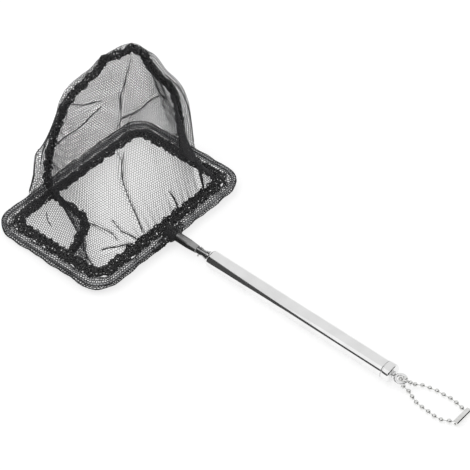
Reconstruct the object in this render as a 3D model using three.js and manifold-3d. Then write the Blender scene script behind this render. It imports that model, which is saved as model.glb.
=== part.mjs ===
// A small telescopic landing net: a mesh bag on a bent wire hoop, a three-stage telescopic
// tube that slides into a chromed grip, and a loop of ball chain through the eye at its end.
// Millimetres, +Z up. While it is built, the handle's axis runs along X, the floor is z = 0,
// and x = 0 is the outline of the hoop on the handle's side. The whole net is then moved so
// that the origin lies on the floor, under the middle of its box.
import * as THREE from "three";
import { mergeVertices } from "three/addons/utils/BufferGeometryUtils.js";
import Module from "manifold-3d";

const wasm = await Module();
wasm.setup();

// Net: the hoop's outline and its wire.
const NET_WIDTH = 139.6; // across the handle, outside the sleeve
const NET_DEPTH = 98.6; // along the handle, outside the sleeve
const HOOP_CORNER = 14; // corner radius of the wire's centre line
const WIRE_DIAMETER = 2.4;
const LEG_GAP = 0.3; // between the wire's two ends, side by side in the ferrule
const LEG_BEND = 2.6; // radius where the wire turns into its legs
const LEG_LENGTH = 14.6; // from the near side of the hoop into the ferrule

// Sleeve: the loose fold of mesh round the wire.
const SLEEVE_THICKNESS = 0.45;
const SLEEVE_CLEARANCE = 0.3; // between the wire and the sleeve
const SLEEVE_SAG = 4; // how far it hangs below the wire's centre line
const SLEEVE_FLAP = 4.6; // how far it reaches inwards from the wire's centre line
const FLAP_EDGE = 0.8; // thickness of the flap's inner edge
const THROAT_WIDTH = 13; // the bunch of mesh round the legs

// Band: the thick bound seam between the sleeve and the bag.
const BAND_WIDTH = 7.3;
const BAND_THICKNESS = 3.4;
const BAND_CORNER = 9;
const BAND_RISE = 1; // above the wire's plane

// Bag: two panels of mesh, joined by one bound seam that runs up over the top.
const PANEL_THICKNESS = 0.8;
const SEAM_DIAMETER = 4;
const NEAR_BULGE = 6; // how far the panel on the handle's side swells out
const FAR_BULGE = 10; // how far the other panel swells out past the seam
const SOFT_GAP = 0.3; // between neighbouring soft pieces
const JOIN_GAP = 5; // from the seam's ends to the panels' first and last threads

// Telescopic tube: three stages, each sliding into the next.
const HEAD_DIAMETER = 4.8; // the thinnest stage, which carries the net
const TUBE_WALL = 0.25;
const TUBE_CLEARANCE = 0.2; // round a stage, inside the next one's bore
const LIP_CLEARANCE = 0.08; // round a stage, inside the next one's rolled mouth
const LIP_LENGTH = 1.5;
const HEAD_PROUD = 6.3; // how much of the thinnest stage shows when it is pushed in
const STAGE_PROUD = 1.3; // how much of each other stage shows when it is pushed in
const STOP_GAP = 0.4; // along the axis, between a stage's inner end and its stop
const SEAT_LENGTH = 9; // the stretch at a stage's inner end that carries its spring
const SEAT_SLOPE = 0.5; // length of the swaged step down to the seat
const END_FLANGE = 0.6; // the rim that keeps the spring on
const SPRING_CLEARANCE = 0.1; // round the seat and at both ends of the split spring
const SPRING_GAP = 0.05; // round the split spring, inside the next stage's bore
const SPRING_THICKNESS = 0.25;
const SPRING_CROWN = 0.1; // how far its middle stands out over its ends
const SPRING_SLOT = 0.9;
const PISTON_GAP = 0.1; // round the bush that guides the widest stage in the grip
const PISTON_SEAT = 0.4; // depth of the bush's seat in the widest stage
const PISTON_LAND = 2;
const PISTON_WAIST = 0.6;

// Ferrule, joining plug and rivet.
const FERRULE_START = 2.5;
const FERRULE_LENGTH = 17.5;
const FERRULE_DIAMETER = 6.4; // over the two legs
const FERRULE_SMALL_DIAMETER = 5.3; // over the joining plug
const FERRULE_STRAIGHT = 9.5;
const LEG_CLEARANCE = 0.1;
const JOINT_GAP = 0.3; // between the ferrule and the thinnest stage
const PLUG_CLEARANCE = 0.1;
const PLUG_REACH = 6.5; // into the thinnest stage
const RIVET_OFFSET = 2; // from the end of the thinnest stage
const RIVET_DIAMETER = 1.2;
const RIVET_HEAD_DIAMETER = 2.2;
const RIVET_HEAD_HEIGHT = 0.5;
const RIVET_TAIL = 1.5; // how far it stands out on the far side
const RIVET_CLEARANCE = 0.1;
const RIVET_ROLL = 45; // degrees, how far the head is turned round the axis

// Grip: a chromed tube with a tapered mouth.
const GRIP_DIAMETER = 12;
const GRIP_LENGTH = 143.5;
const GRIP_WALL = 0.4;
const MOUTH_WALL = 0.45;
const MOUTH_LAND = 0.9; // the straight stretch of the mouth
const MOUTH_TAPER = 2.2; // length of the cone behind it

// Rear end: plug, end cap and eye.
const REAR_PLUG_LENGTH = 12;
const REAR_PLUG_CLEARANCE = 0.1;
const CAP_DIAMETER = 12.8;
const CAP_LENGTH = 6.1;
const SEAT_GAP = 0.1; // between the plug, the cap and the eye's collar
const CAP_GROOVE_DEPTH = 0.4;
const CAP_GROOVE_WIDTH = 0.7;
const CAP_ROUND = 1.6; // radius of the cap's outer edge
const CAP_SEAT_DEPTH = 0.4; // of the recess in the cap's end that the eye's collar sits in
const CAP_SEAT_CLEARANCE = 0.2; // round the collar in its recess
const STUD_DIAMETER = 2.6;
const STUD_CLEARANCE = 0.1;
const STUD_LENGTH = 14;
const COLLAR_DIAMETER = 4.4;
const COLLAR_LENGTH = 0.8; // how much of the collar stands out of the cap
const NECK_DIAMETER = 3.2;
const EYE_DIAMETER = 9.1;
const EYE_HOLE = 4.5;

// Ball chain.
const BALL_DIAMETER = 3.2;
const BALL_WALL = 0.3;
const BALL_HOLE = 1;
const ROD_DIAMETER = 0.6;
const ROD_HEAD_DIAMETER = 1.3;
const ROD_HEAD_SEAT = 0.45; // from the middle of the next ball to the middle of the rod's head
const UPPER_BALLS = 11; // from the eye over its rim into the connector
const LOWER_BALLS = 10; // from the eye under its rim into the connector
const CONNECTOR_REACH = 43.2; // from the middle of the eye, along the handle
const CONNECTOR_SHIFT = 3.6; // to the side of the handle's axis
const CONNECTOR_LENGTH = 13.8;
const CONNECTOR_LIFT = 0.1; // above the floor
const CONNECTOR_WALL = 0.35;
const CONNECTOR_CLEARANCE = 0.25;
const CONNECTOR_HOLE = 1.8; // in each of its ends
const CONNECTOR_OPENING = 110; // degrees of its side that stay open

// Facets.
const TUBE_SIDES = 20;
const WIRE_SIDES = 8;
const RIVET_SIDES = 10;
const CHANNEL_SIDES = 16;
const CORNER_STEPS = 4;
const SEAM_STEPS = 42;
const BALL_SIDES = 8;
const BALL_STEPS = 5;
const PANEL_ROWS = 7;

// Materials.
const steel = new THREE.MeshStandardMaterial({ color: 0xc9cbcd, roughness: 0.2, metalness: 1 });
const chrome = new THREE.MeshStandardMaterial({ color: 0xe2e4e6, roughness: 0.07, metalness: 1 });
const bronze = new THREE.MeshStandardMaterial({ color: 0xb9975b, roughness: 0.35, metalness: 1 });
const nickel = new THREE.MeshStandardMaterial({ color: 0xd3d4d2, roughness: 0.15, metalness: 1 });
const moulded = new THREE.MeshStandardMaterial({ color: 0x2b2c2e, roughness: 0.6 });
const mesh = new THREE.MeshStandardMaterial({ color: 0x1d1d1f, roughness: 0.85 });
const binding = new THREE.MeshStandardMaterial({ color: 0x121213, roughness: 0.9 });

// Sizes that follow from those above.
const wireRadius = WIRE_DIAMETER / 2;
const sleeveHole = wireRadius + SLEEVE_CLEARANCE;
const sleeveOuter = sleeveHole + SLEEVE_THICKNESS;
const gripRadius = GRIP_DIAMETER / 2;
const gripBore = gripRadius - GRIP_WALL;
const capRadius = CAP_DIAMETER / 2;
const studRadius = STUD_DIAMETER / 2;
const studRoom = studRadius + STUD_CLEARANCE;
const ballRadius = BALL_DIAMETER / 2;

// The handle lies on its cap, and the hoop droops until its sleeve meets the floor.
const axisHeight = capRadius;
const droop = Math.asin((axisHeight - SLEEVE_SAG) / (NET_DEPTH - 2 * sleeveOuter));

// Places along the handle, from the hoop to the eye.
const ferruleEnd = FERRULE_START + FERRULE_LENGTH;
const headStart = ferruleEnd + JOINT_GAP;
const middleStart = headStart + HEAD_PROUD;
const outerStart = middleStart + STAGE_PROUD;
const gripStart = outerStart + STAGE_PROUD;
const gripEnd = gripStart + GRIP_LENGTH;
const plugStart = gripEnd - REAR_PLUG_LENGTH;
const capEnd = gripEnd + SEAT_GAP + CAP_LENGTH;
const eyeX = capEnd + SEAT_GAP + COLLAR_LENGTH + EYE_DIAMETER / 2;

const net = new THREE.Group();

/** Adds a named piece to the net. */
function piece(name, geometry, material) {
  const made = new THREE.Mesh(geometry, material);
  made.name = name;
  net.add(made);
}

/** The volume that a closed triangle mesh holds, negative where it is inside out. */
function volumeOf({ index, attributes }) {
  const corners = [new THREE.Vector3(), new THREE.Vector3(), new THREE.Vector3()];
  let volume = 0;
  for (let i = 0; i < index.count; i += 3) {
    corners.forEach((corner, k) => corner.fromBufferAttribute(attributes.position, index.getX(i + k)));
    volume += corners[0].dot(corners[1].cross(corners[2])) / 6;
  }
  return volume;
}

/** The same geometry with only positions, its vertices merged and its faces pointing out. */
function closed(geometry) {
  const bare = geometry.clone();
  bare.deleteAttribute("normal");
  bare.deleteAttribute("uv");
  const merged = mergeVertices(bare, 1e-4);
  if (volumeOf(merged) < 0) merged.index.array.reverse();
  return merged;
}

/** A geometry as a solid that can be joined and cut. */
function solid(geometry) {
  const ready = closed(geometry);
  return new wasm.Manifold(
    new wasm.Mesh({
      numProp: 3,
      vertProperties: new Float32Array(ready.attributes.position.array),
      triVerts: new Uint32Array(ready.index.array),
    }),
  );
}

/** A joined or cut solid as a geometry. */
function shape(manifold) {
  const { vertProperties, triVerts } = manifold.getMesh();
  const made = new THREE.BufferGeometry();
  made.setAttribute("position", new THREE.BufferAttribute(vertProperties, 3));
  made.setIndex(new THREE.BufferAttribute(triVerts, 1));
  return made;
}

/** What is left of a geometry after cuts, without loose scraps. */
function cut(geometry, ...cutters) {
  let left = solid(geometry);
  for (const cutter of cutters) left = left.subtract(solid(cutter));
  const bodies = left.decompose().sort((a, b) => b.volume() - a.volume());
  return shape(bodies[0]);
}

/** A turned piece: [x, radius] pairs, revolved round the X axis. */
function lathe(profile, sides) {
  const points = profile.map(([x, r]) => new THREE.Vector2(r, x));
  const onAxis = profile[0][1] === 0 && profile.at(-1)[1] === 0;
  if (!onAxis) points.push(points[0].clone());
  return closed(new THREE.LatheGeometry(points, sides).rotateZ(-Math.PI / 2));
}

/** A turned piece on the handle's axis. */
function turned(profile) {
  return lathe(profile, TUBE_SIDES).translate(0, 0, axisHeight);
}

/** A row of places that a section is swept along, with one ring at each. */
class Places extends THREE.Curve {
  constructor(points) {
    super();
    this.points = points;
    this.steps = points.length - 1;
  }

  getPointAt(u, target = new THREE.Vector3()) {
    return target.copy(this.points[Math.round(u * this.steps)]);
  }

  getTangentAt(u, target = new THREE.Vector3()) {
    const i = Math.round(u * this.steps);
    const [before, here, after] = [-1, 0, 1].map(
      (k) => this.points[THREE.MathUtils.clamp(i + k, 0, this.steps)],
    );
    const back = here.clone().sub(before).normalize();
    const on = after.clone().sub(here).normalize();
    return target.addVectors(back, on).normalize();
  }
}

/** A section swept along a row of places. */
function swept(section, points) {
  const extrudePath = new Places(points);
  return closed(new THREE.ExtrudeGeometry(section, { steps: extrudePath.steps, extrudePath }));
}

/** The points of an oval, or of a circle where both radii are the same. */
function oval(across, along, sides) {
  return Array.from({ length: sides }, (_, i) => {
    const turn = ((i + 0.5) / sides) * 2 * Math.PI;
    return new THREE.Vector2(across * Math.cos(turn), along * Math.sin(turn));
  });
}

/** A round rod or bead along a row of places. */
function rod(points, radius) {
  return swept(new THREE.Shape(oval(radius, radius, WIRE_SIDES)), points);
}

/** A grid of places as a surface that closes on itself both ways, as a ring does. */
function ringOf(grid) {
  const sides = grid[0].length;
  const at = (i, j) => (i % grid.length) * sides + (j % sides);
  const index = [];
  for (let i = 0; i < grid.length; i++) {
    for (let j = 0; j < sides; j++) {
      index.push(at(i, j), at(i + 1, j), at(i + 1, j + 1));
      index.push(at(i, j), at(i + 1, j + 1), at(i, j + 1));
    }
  }
  const made = new THREE.BufferGeometry().setFromPoints(grid.flat());
  made.setIndex(index);
  return closed(made);
}

/** A place in the hoop's plane, which droops from the handle to the floor. */
function onHoop([x, y], up = 0) {
  return new THREE.Vector3(
    x * Math.cos(droop) - up * Math.sin(droop),
    y,
    axisHeight + x * Math.sin(droop) + up * Math.cos(droop),
  );
}

/** Places round part of a circle, from one angle to another in degrees. */
function arc(x, y, radius, from, to) {
  return Array.from({ length: CORNER_STEPS + 1 }, (_, i) => {
    const turn = THREE.MathUtils.degToRad(from + ((to - from) * i) / CORNER_STEPS);
    return [x + radius * Math.cos(turn), y + radius * Math.sin(turn)];
  });
}

/** The corners of a line at an inset from the outline, from the near side round by +Y. */
function hoopCorners(inset, radius) {
  const near = -inset - radius;
  const far = -NET_DEPTH + inset + radius;
  const side = NET_WIDTH / 2 - inset - radius;
  return [
    arc(near, side, radius, 0, 90),
    arc(far, side, radius, 90, 180),
    arc(far, -side, radius, 180, 270),
    arc(near, -side, radius, 270, 360),
  ];
}

// Wire hoop: one wire, with both ends side by side in the ferrule.
const legY = LEG_GAP / 2 + wireRadius;
const legEnd = LEG_LENGTH - sleeveOuter;
const bendX = LEG_BEND - sleeveOuter;
const leg = (y) => new THREE.Vector3(legEnd, y, axisHeight);
const wireRing = [
  ...arc(bendX, legY + LEG_BEND, LEG_BEND, 270, 180),
  ...hoopCorners(sleeveOuter, HOOP_CORNER).flat(),
  ...arc(bendX, -legY - LEG_BEND, LEG_BEND, 180, 90),
];
const wirePlaces = [leg(legY), ...wireRing.map((place) => onHoop(place)), leg(-legY)];
piece("wire_hoop", rod(wirePlaces, wireRadius), steel);

// Mesh sleeve round the wire. It is open at the throat, where the wire leaves it.
const sleeveSection = new THREE.Shape([
  new THREE.Vector2(SLEEVE_SAG * 0.9, -sleeveOuter * 0.5),
  new THREE.Vector2(0, -sleeveOuter),
  new THREE.Vector2(-sleeveOuter * 0.75, -sleeveOuter * 0.75),
  new THREE.Vector2(-sleeveOuter, 0),
  new THREE.Vector2(-sleeveOuter * 0.8, SLEEVE_FLAP * 0.5),
  new THREE.Vector2(-FLAP_EDGE, SLEEVE_FLAP),
  new THREE.Vector2(0, SLEEVE_FLAP),
  new THREE.Vector2(SLEEVE_SAG * 0.7, SLEEVE_FLAP * 0.6),
  new THREE.Vector2(SLEEVE_SAG, SLEEVE_FLAP * 0.15),
]);
sleeveSection.holes.push(new THREE.Path(oval(sleeveHole, sleeveHole, WIRE_SIDES)));
const throatSide = THROAT_WIDTH / 2;
const sleeveEnd = throatSide + 2 * SOFT_GAP;
const sleeveLine = [
  [-sleeveOuter, sleeveEnd],
  ...hoopCorners(sleeveOuter, HOOP_CORNER).flat(),
  [-sleeveOuter, -sleeveEnd],
];
piece("mesh_sleeve", swept(sleeveSection, sleeveLine.map((place) => onHoop(place))), mesh);

// Bound band between the sleeve and the bag. A margin makes the room that it needs.
const bandInset = sleeveOuter + SLEEVE_FLAP + SOFT_GAP + BAND_WIDTH / 2;
const bandCorners = hoopCorners(bandInset, BAND_CORNER);
function band(margin = 0) {
  const section = oval(BAND_WIDTH / 2 + margin, BAND_THICKNESS / 2 + margin, 10);
  const grid = bandCorners.flatMap((places, k) =>
    places.map(([x, y], i) => {
      const turn = ((k + i / CORNER_STEPS) * Math.PI) / 2;
      return section.map((p) =>
        onHoop([x + p.x * Math.cos(turn), y + p.x * Math.sin(turn)], BAND_RISE + p.y),
      );
    }),
  );
  return ringOf(grid);
}
piece("bound_band", band(), binding);

// Mesh bunched round the legs, between the band and the ferrule.
const bunchFrom = SOFT_GAP + BAND_WIDTH / 2 - bandInset;
const bunchTo = FERRULE_START - SOFT_GAP;
const bunch = new THREE.SphereGeometry(1, 12, 6)
  .rotateX(Math.PI / 2)
  .scale((bunchTo - bunchFrom) / 2, throatSide, sleeveOuter + SLEEVE_THICKNESS)
  .translate((bunchTo + bunchFrom) / 2, 0, axisHeight);
piece("throat_bunch", cut(bunch, rod(wirePlaces, sleeveHole)), binding);

// The seam's route: from the left side of the hoop over its far side and up over the top.
const seamRoute = [
  [-40.5, -54.7, 6],
  [-43, -47, 4.2],
  [-47, -39, 3],
  [-52, -30.5, 2.8],
  [-58.5, -25.6, 2.8],
  [-67, -24.6, 3],
  [-76, -25, 4.6],
  [-84, -26.5, 10],
  [-89.5, -26, 16],
  [-91.5, -21.5, 28],
  [-91, -19.2, 40],
  [-88.8, -15, 55],
  [-85.4, -9, 72.5],
  [-81, -1, 85],
  [-75.5, 9.5, 96],
  [-70, 20, 105.5],
  [-64, 30, 109],
  [-59.8, 37.5, 103.5],
  [-57, 43, 89],
  [-53, 50, 74],
  [-49.5, 56, 57],
  [-48.2, 58.3, 42],
  [-47.5, 59.3, 27],
  [-46.5, 59.6, 12.5],
];
const seam = new THREE.CatmullRomCurve3(
  seamRoute.map((place) => new THREE.Vector3(...place)),
  false,
  "centripetal",
);
const seamPlaces = seam.getSpacedPoints(SEAM_STEPS);
piece("bag_seam", rod(seamPlaces, SEAM_DIAMETER / 2), binding);

/** The place at a share of the length of a row of places. */
function along(places, share) {
  const curve = new THREE.CurvePath();
  for (let i = 1; i < places.length; i++) curve.add(new THREE.LineCurve3(places[i - 1], places[i]));
  return curve.getPointAt(share);
}

/** A thin closed sheet round a grid of places. */
function sheet(grid, thickness) {
  const rows = grid.length;
  const columns = grid[0].length;
  const side = (sign) =>
    grid.flatMap((row, i) =>
      row.map((place, j) => {
        const down = grid[Math.min(i + 1, rows - 1)][j].clone().sub(grid[Math.max(i - 1, 0)][j]);
        const across = row[Math.min(j + 1, columns - 1)].clone().sub(row[Math.max(j - 1, 0)]);
        const normal = down.cross(across).normalize();
        return place.clone().addScaledVector(normal, (sign * thickness) / 2);
      }),
    );
  const top = (i, j) => i * columns + j;
  const under = (i, j) => rows * columns + top(i, j);
  const index = [];
  const quad = (a, b, c, d) => index.push(a, b, c, a, c, d);
  for (let i = 1; i < rows; i++) {
    for (let j = 1; j < columns; j++) {
      quad(top(i - 1, j - 1), top(i, j - 1), top(i, j), top(i - 1, j));
      quad(under(i - 1, j - 1), under(i - 1, j), under(i, j), under(i, j - 1));
    }
    quad(top(i - 1, 0), under(i - 1, 0), under(i, 0), top(i, 0));
    quad(top(i, columns - 1), under(i, columns - 1), under(i - 1, columns - 1), top(i - 1, columns - 1));
  }
  for (let j = 1; j < columns; j++) {
    quad(top(0, j), under(0, j), under(0, j - 1), top(0, j - 1));
    quad(top(rows - 1, j - 1), under(rows - 1, j - 1), under(rows - 1, j), top(rows - 1, j));
  }
  const made = new THREE.BufferGeometry().setFromPoints([...side(1), ...side(-1)]);
  made.setIndex(index);
  return closed(made);
}

/** A panel's places, stretched from the band's middle line to the seam's and swelling between. */
function panelGrid({ foot, knee, seamKnee, seamFrom, out, bulge, columns }) {
  return Array.from({ length: columns + 1 }, (_, i) => {
    const s = i / columns;
    const seamShare =
      s < knee
        ? THREE.MathUtils.mapLinear(s, 0, knee, seamFrom, seamKnee)
        : THREE.MathUtils.mapLinear(s, knee, 1, seamKnee, 1);
    const low = along(foot, s);
    const high = seam.getPointAt(seamShare);
    const standing = THREE.MathUtils.smoothstep(s, knee - 0.1, knee + 0.15);
    const swell = bulge * standing * Math.sin(Math.PI * s);
    return Array.from({ length: PANEL_ROWS + 1 }, (_, j) => {
      const t = j / PANEL_ROWS;
      return low.clone().lerp(high, t).addScaledVector(out, swell * Math.sin(Math.PI * t));
    });
  });
}

// The band's middle line on either side of the seam's two ends.
const bandSide = NET_WIDTH / 2 - bandInset;
const seamStart = seamRoute[0][0];
const seamEnd = seamRoute.at(-1)[0];
const raised = (place) => onHoop(place, BAND_RISE);
const nearGrid = panelGrid({
  foot: [
    [seamStart + JOIN_GAP, -bandSide],
    ...bandCorners[3],
    ...bandCorners[0],
    [seamEnd + JOIN_GAP, bandSide],
  ].map(raised),
  knee: 0.2,
  seamKnee: 0.26,
  seamFrom: 0.03,
  out: new THREE.Vector3(0.75, -0.3, 0.6),
  bulge: NEAR_BULGE,
  columns: 18,
});
const farGrid = panelGrid({
  foot: [
    [seamStart - JOIN_GAP, -bandSide],
    ...bandCorners[2].toReversed(),
    ...bandCorners[1].toReversed(),
    [seamEnd - JOIN_GAP, bandSide],
  ].map(raised),
  knee: 0.42,
  seamKnee: 0.28,
  seamFrom: 0.03,
  out: new THREE.Vector3(-0.95, -0.1, 0.15),
  bulge: FAR_BULGE,
  columns: 18,
});
const bandRoom = band(SOFT_GAP);
const seamRoom = rod(seamPlaces, SEAM_DIAMETER / 2 + SOFT_GAP);
const nearRoom = sheet(nearGrid, PANEL_THICKNESS + 2 * SOFT_GAP);
piece("near_panel", cut(sheet(nearGrid, PANEL_THICKNESS), bandRoom, seamRoom), mesh);
piece("far_panel", cut(sheet(farGrid, PANEL_THICKNESS), bandRoom, seamRoom, nearRoom), mesh);

// Ferrule over the two legs, narrowing onto the joining plug.
const headRadius = HEAD_DIAMETER / 2;
const ferruleRadius = FERRULE_DIAMETER / 2;
const ferruleSmall = FERRULE_SMALL_DIAMETER / 2;
const legRoom = legY + wireRadius + LEG_CLEARANCE;
const plugRadius = headRadius - TUBE_WALL - PLUG_CLEARANCE;
const plugRoom = plugRadius + PLUG_CLEARANCE;
const plugFrom = legEnd + JOINT_GAP;
piece(
  "ferrule",
  turned([
    [FERRULE_START, legRoom],
    [FERRULE_START, ferruleRadius - 0.2],
    [FERRULE_START + 0.4, ferruleRadius],
    [FERRULE_START + FERRULE_STRAIGHT, ferruleRadius],
    [ferruleEnd - 0.3, ferruleSmall],
    [ferruleEnd, ferruleSmall - 0.2],
    [ferruleEnd, plugRoom],
    [plugFrom, plugRoom],
    [plugFrom - JOINT_GAP, legRoom],
  ]),
  steel,
);

// Rivet across the thinnest stage and the plug, and the room that it needs.
const rivetRadius = RIVET_DIAMETER / 2;
const rivetSeat = headRadius + RIVET_CLEARANCE;
function acrossHead(profile) {
  return lathe(profile, RIVET_SIDES)
    .rotateY(-Math.PI / 2)
    .rotateX(THREE.MathUtils.degToRad(-RIVET_ROLL))
    .translate(headStart + RIVET_OFFSET, 0, axisHeight);
}
const rivetRoom = acrossHead([
  [-GRIP_DIAMETER, 0],
  [-GRIP_DIAMETER, rivetRadius + RIVET_CLEARANCE],
  [GRIP_DIAMETER, rivetRadius + RIVET_CLEARANCE],
  [GRIP_DIAMETER, 0],
]);
piece(
  "cross_rivet",
  acrossHead([
    [-headRadius - RIVET_TAIL, 0],
    [-headRadius - RIVET_TAIL, rivetRadius * 0.7],
    [-headRadius - RIVET_TAIL + 0.2, rivetRadius],
    [rivetSeat, rivetRadius],
    [rivetSeat, RIVET_HEAD_DIAMETER / 2],
    [rivetSeat + RIVET_HEAD_HEIGHT * 0.6, RIVET_HEAD_DIAMETER * 0.4],
    [rivetSeat + RIVET_HEAD_HEIGHT, 0],
  ]),
  nickel,
);
const plugEnd = headStart + PLUG_REACH;
piece(
  "joining_plug",
  cut(
    turned([
      [plugFrom, 0],
      [plugFrom, plugRadius - 0.2],
      [plugFrom + 0.2, plugRadius],
      [plugEnd - 0.2, plugRadius],
      [plugEnd, plugRadius - 0.2],
      [plugEnd, 0],
    ]),
    rivetRoom,
  ),
  steel,
);

// The stages, from the thinnest to the widest. Each has its bore, and but for the thinnest
// a rolled mouth that closes on the stage inside it.
const stages = [
  { name: "head_tube", radius: headRadius, start: headStart },
  { name: "middle_tube", start: middleStart },
  { name: "outer_tube", start: outerStart },
];
for (let i = 1; i < stages.length; i++) {
  const inside = stages[i - 1];
  stages[i].radius = inside.radius + TUBE_CLEARANCE + TUBE_WALL;
  stages[i].mouth = inside.radius + LIP_CLEARANCE;
}
for (const stage of stages) stage.bore = stage.radius - TUBE_WALL;

// Their inner ends, from the widest inwards: each stops short of the next one's swaged seat.
let stop = plugStart;
for (const stage of stages.toReversed()) {
  stage.end = stop - STOP_GAP;
  stage.seatEnd = stage.end - END_FLANGE;
  stage.seatStart = stage.seatEnd - SEAT_LENGTH;
  stop = stage.seatStart - SEAT_SLOPE;
}

// What slides on each stage's seat: a split spring on the two thin ones, a bush on the widest.
const [head, middle, outer] = stages;
for (const [stage, next] of [[head, middle], [middle, outer]]) {
  stage.slider = next.bore - SPRING_GAP;
  stage.seat = stage.slider - SPRING_THICKNESS - SPRING_CLEARANCE;
}
outer.slider = gripBore - PISTON_GAP;
outer.seat = outer.radius - PISTON_SEAT;

/** A stage's tube: rolled mouth, plain run, swaged seat and end flange. */
function stageTube({ start, end, radius, bore, mouth, seat, seatStart, seatEnd }) {
  const seatBore = Math.min(bore, seat - TUBE_WALL);
  const lip = mouth
    ? [
        [start + LIP_LENGTH, bore],
        [start + LIP_LENGTH - 0.3, mouth],
        [start, mouth],
      ]
    : [[start, bore]];
  return turned([
    [start, radius - TUBE_WALL / 2],
    [start + TUBE_WALL, radius],
    [seatStart - SEAT_SLOPE, radius],
    [seatStart, seat],
    [seatEnd, seat],
    [seatEnd, radius],
    [end, radius],
    [end, seatBore],
    [seatStart - TUBE_WALL, seatBore],
    [seatStart - TUBE_WALL - SEAT_SLOPE, bore],
    ...lip,
  ]);
}
piece(head.name, cut(stageTube(head), rivetRoom), steel);
piece(middle.name, stageTube(middle), steel);
piece(outer.name, stageTube(outer), steel);

/** A split spring: a thin crowned ring, slit along its whole length. */
function splitSpring({ seat, slider, seatStart, seatEnd }) {
  const from = seatStart + SPRING_CLEARANCE;
  const to = seatEnd - SPRING_CLEARANCE;
  const inside = seat + SPRING_CLEARANCE;
  const ring = turned([
    [from, inside],
    [from, slider - SPRING_CROWN],
    [from + (to - from) / 3, slider],
    [to - (to - from) / 3, slider],
    [to, slider - SPRING_CROWN],
    [to, inside],
  ]);
  const slit = new THREE.BoxGeometry(2 * SEAT_LENGTH, SPRING_SLOT, 2 * slider);
  return cut(ring, slit.translate((from + to) / 2, 0, axisHeight + slider));
}
piece("head_spring", splitSpring(head), bronze);
piece("middle_spring", splitSpring(middle), bronze);

// Piston bush on the widest stage: two lands that run in the grip, and a waist.
const bushFrom = outer.seatStart + SPRING_CLEARANCE;
const bushTo = outer.seatEnd - SPRING_CLEARANCE;
const bushBore = outer.seat + SPRING_CLEARANCE;
piece(
  "piston_bush",
  turned([
    [bushFrom, bushBore],
    [bushFrom, outer.slider - 0.4],
    [bushFrom + 0.4, outer.slider],
    [bushFrom + PISTON_LAND, outer.slider],
    [bushFrom + PISTON_LAND + 0.4, outer.slider - PISTON_WAIST],
    [bushTo - PISTON_LAND - 0.4, outer.slider - PISTON_WAIST],
    [bushTo - PISTON_LAND, outer.slider],
    [bushTo - 0.4, outer.slider],
    [bushTo, outer.slider - 0.4],
    [bushTo, bushBore],
  ]),
  moulded,
);

// Grip tube with its tapered mouth.
const mouthBore = outer.radius + LIP_CLEARANCE;
const mouthRadius = mouthBore + MOUTH_WALL;
const coneStart = gripStart + MOUTH_LAND;
const coneEnd = coneStart + MOUTH_TAPER;
piece(
  "grip_tube",
  turned([
    [gripStart, mouthRadius - 0.15],
    [gripStart + 0.2, mouthRadius],
    [coneStart, mouthRadius],
    [coneEnd - 0.3, gripRadius - 0.4],
    [coneEnd, gripRadius - 0.15],
    [coneEnd + 0.5, gripRadius],
    [gripEnd, gripRadius],
    [gripEnd, gripBore],
    [coneEnd + MOUTH_WALL, gripBore],
    [coneStart + MOUTH_WALL, mouthBore],
    [gripStart, mouthBore],
  ]),
  chrome,
);

// Rear plug in the grip, with a blind bore for the eye's stud.
const rearRadius = gripBore - REAR_PLUG_CLEARANCE;
const studStart = capEnd + SEAT_GAP - STUD_LENGTH;
piece(
  "rear_plug",
  turned([
    [plugStart, 0],
    [plugStart, rearRadius - 0.3],
    [plugStart + 0.3, rearRadius],
    [gripEnd, rearRadius],
    [gripEnd, studRoom],
    [studStart - SEAT_GAP, studRoom],
    [studStart - SEAT_GAP - 0.5, 0],
  ]),
  moulded,
);

// End cap: a groove against the grip, a flange with a rounded edge, and a recess for the
// eye's collar.
const capStart = gripEnd + SEAT_GAP;
const flangeStart = capStart + CAP_GROOVE_WIDTH;
const collarSeat = capEnd - CAP_SEAT_DEPTH;
const collarRoom = COLLAR_DIAMETER / 2 + CAP_SEAT_CLEARANCE;
const capRound = arc(capEnd - CAP_ROUND, capRadius - CAP_ROUND, CAP_ROUND, 90, 0);
piece(
  "end_cap",
  turned([
    [capStart, studRoom],
    [capStart, gripRadius - CAP_GROOVE_DEPTH],
    [flangeStart, gripRadius - CAP_GROOVE_DEPTH],
    [flangeStart, capRadius - 0.3],
    [flangeStart + 0.3, capRadius],
    ...capRound,
    [capEnd, collarRoom],
    [collarSeat, collarRoom],
    [collarSeat, studRoom],
  ]),
  chrome,
);

// Eye: a ring that lies flat, with its neck, its collar and the stud that holds the cap on.
const eyeWire = (EYE_DIAMETER - EYE_HOLE) / 4;
const eyeRadius = EYE_DIAMETER / 2 - eyeWire;
const collarStart = collarSeat + SEAT_GAP;
const collarEnd = capEnd + SEAT_GAP + COLLAR_LENGTH;
const shank = turned([
  [studStart, 0],
  [studStart, studRadius - 0.3],
  [studStart + 0.3, studRadius],
  [collarStart, studRadius],
  [collarStart, COLLAR_DIAMETER / 2],
  [collarEnd, COLLAR_DIAMETER / 2],
  [collarEnd, NECK_DIAMETER / 2],
  [eyeX - eyeRadius, eyeWire * 0.8],
  [eyeX - eyeRadius, 0],
]);
const eyeRing = new THREE.TorusGeometry(eyeRadius, eyeWire, 8, TUBE_SIDES);
eyeRing.translate(eyeX, 0, axisHeight);
piece("eye", shape(solid(shank).add(solid(eyeRing))), chrome);

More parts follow.
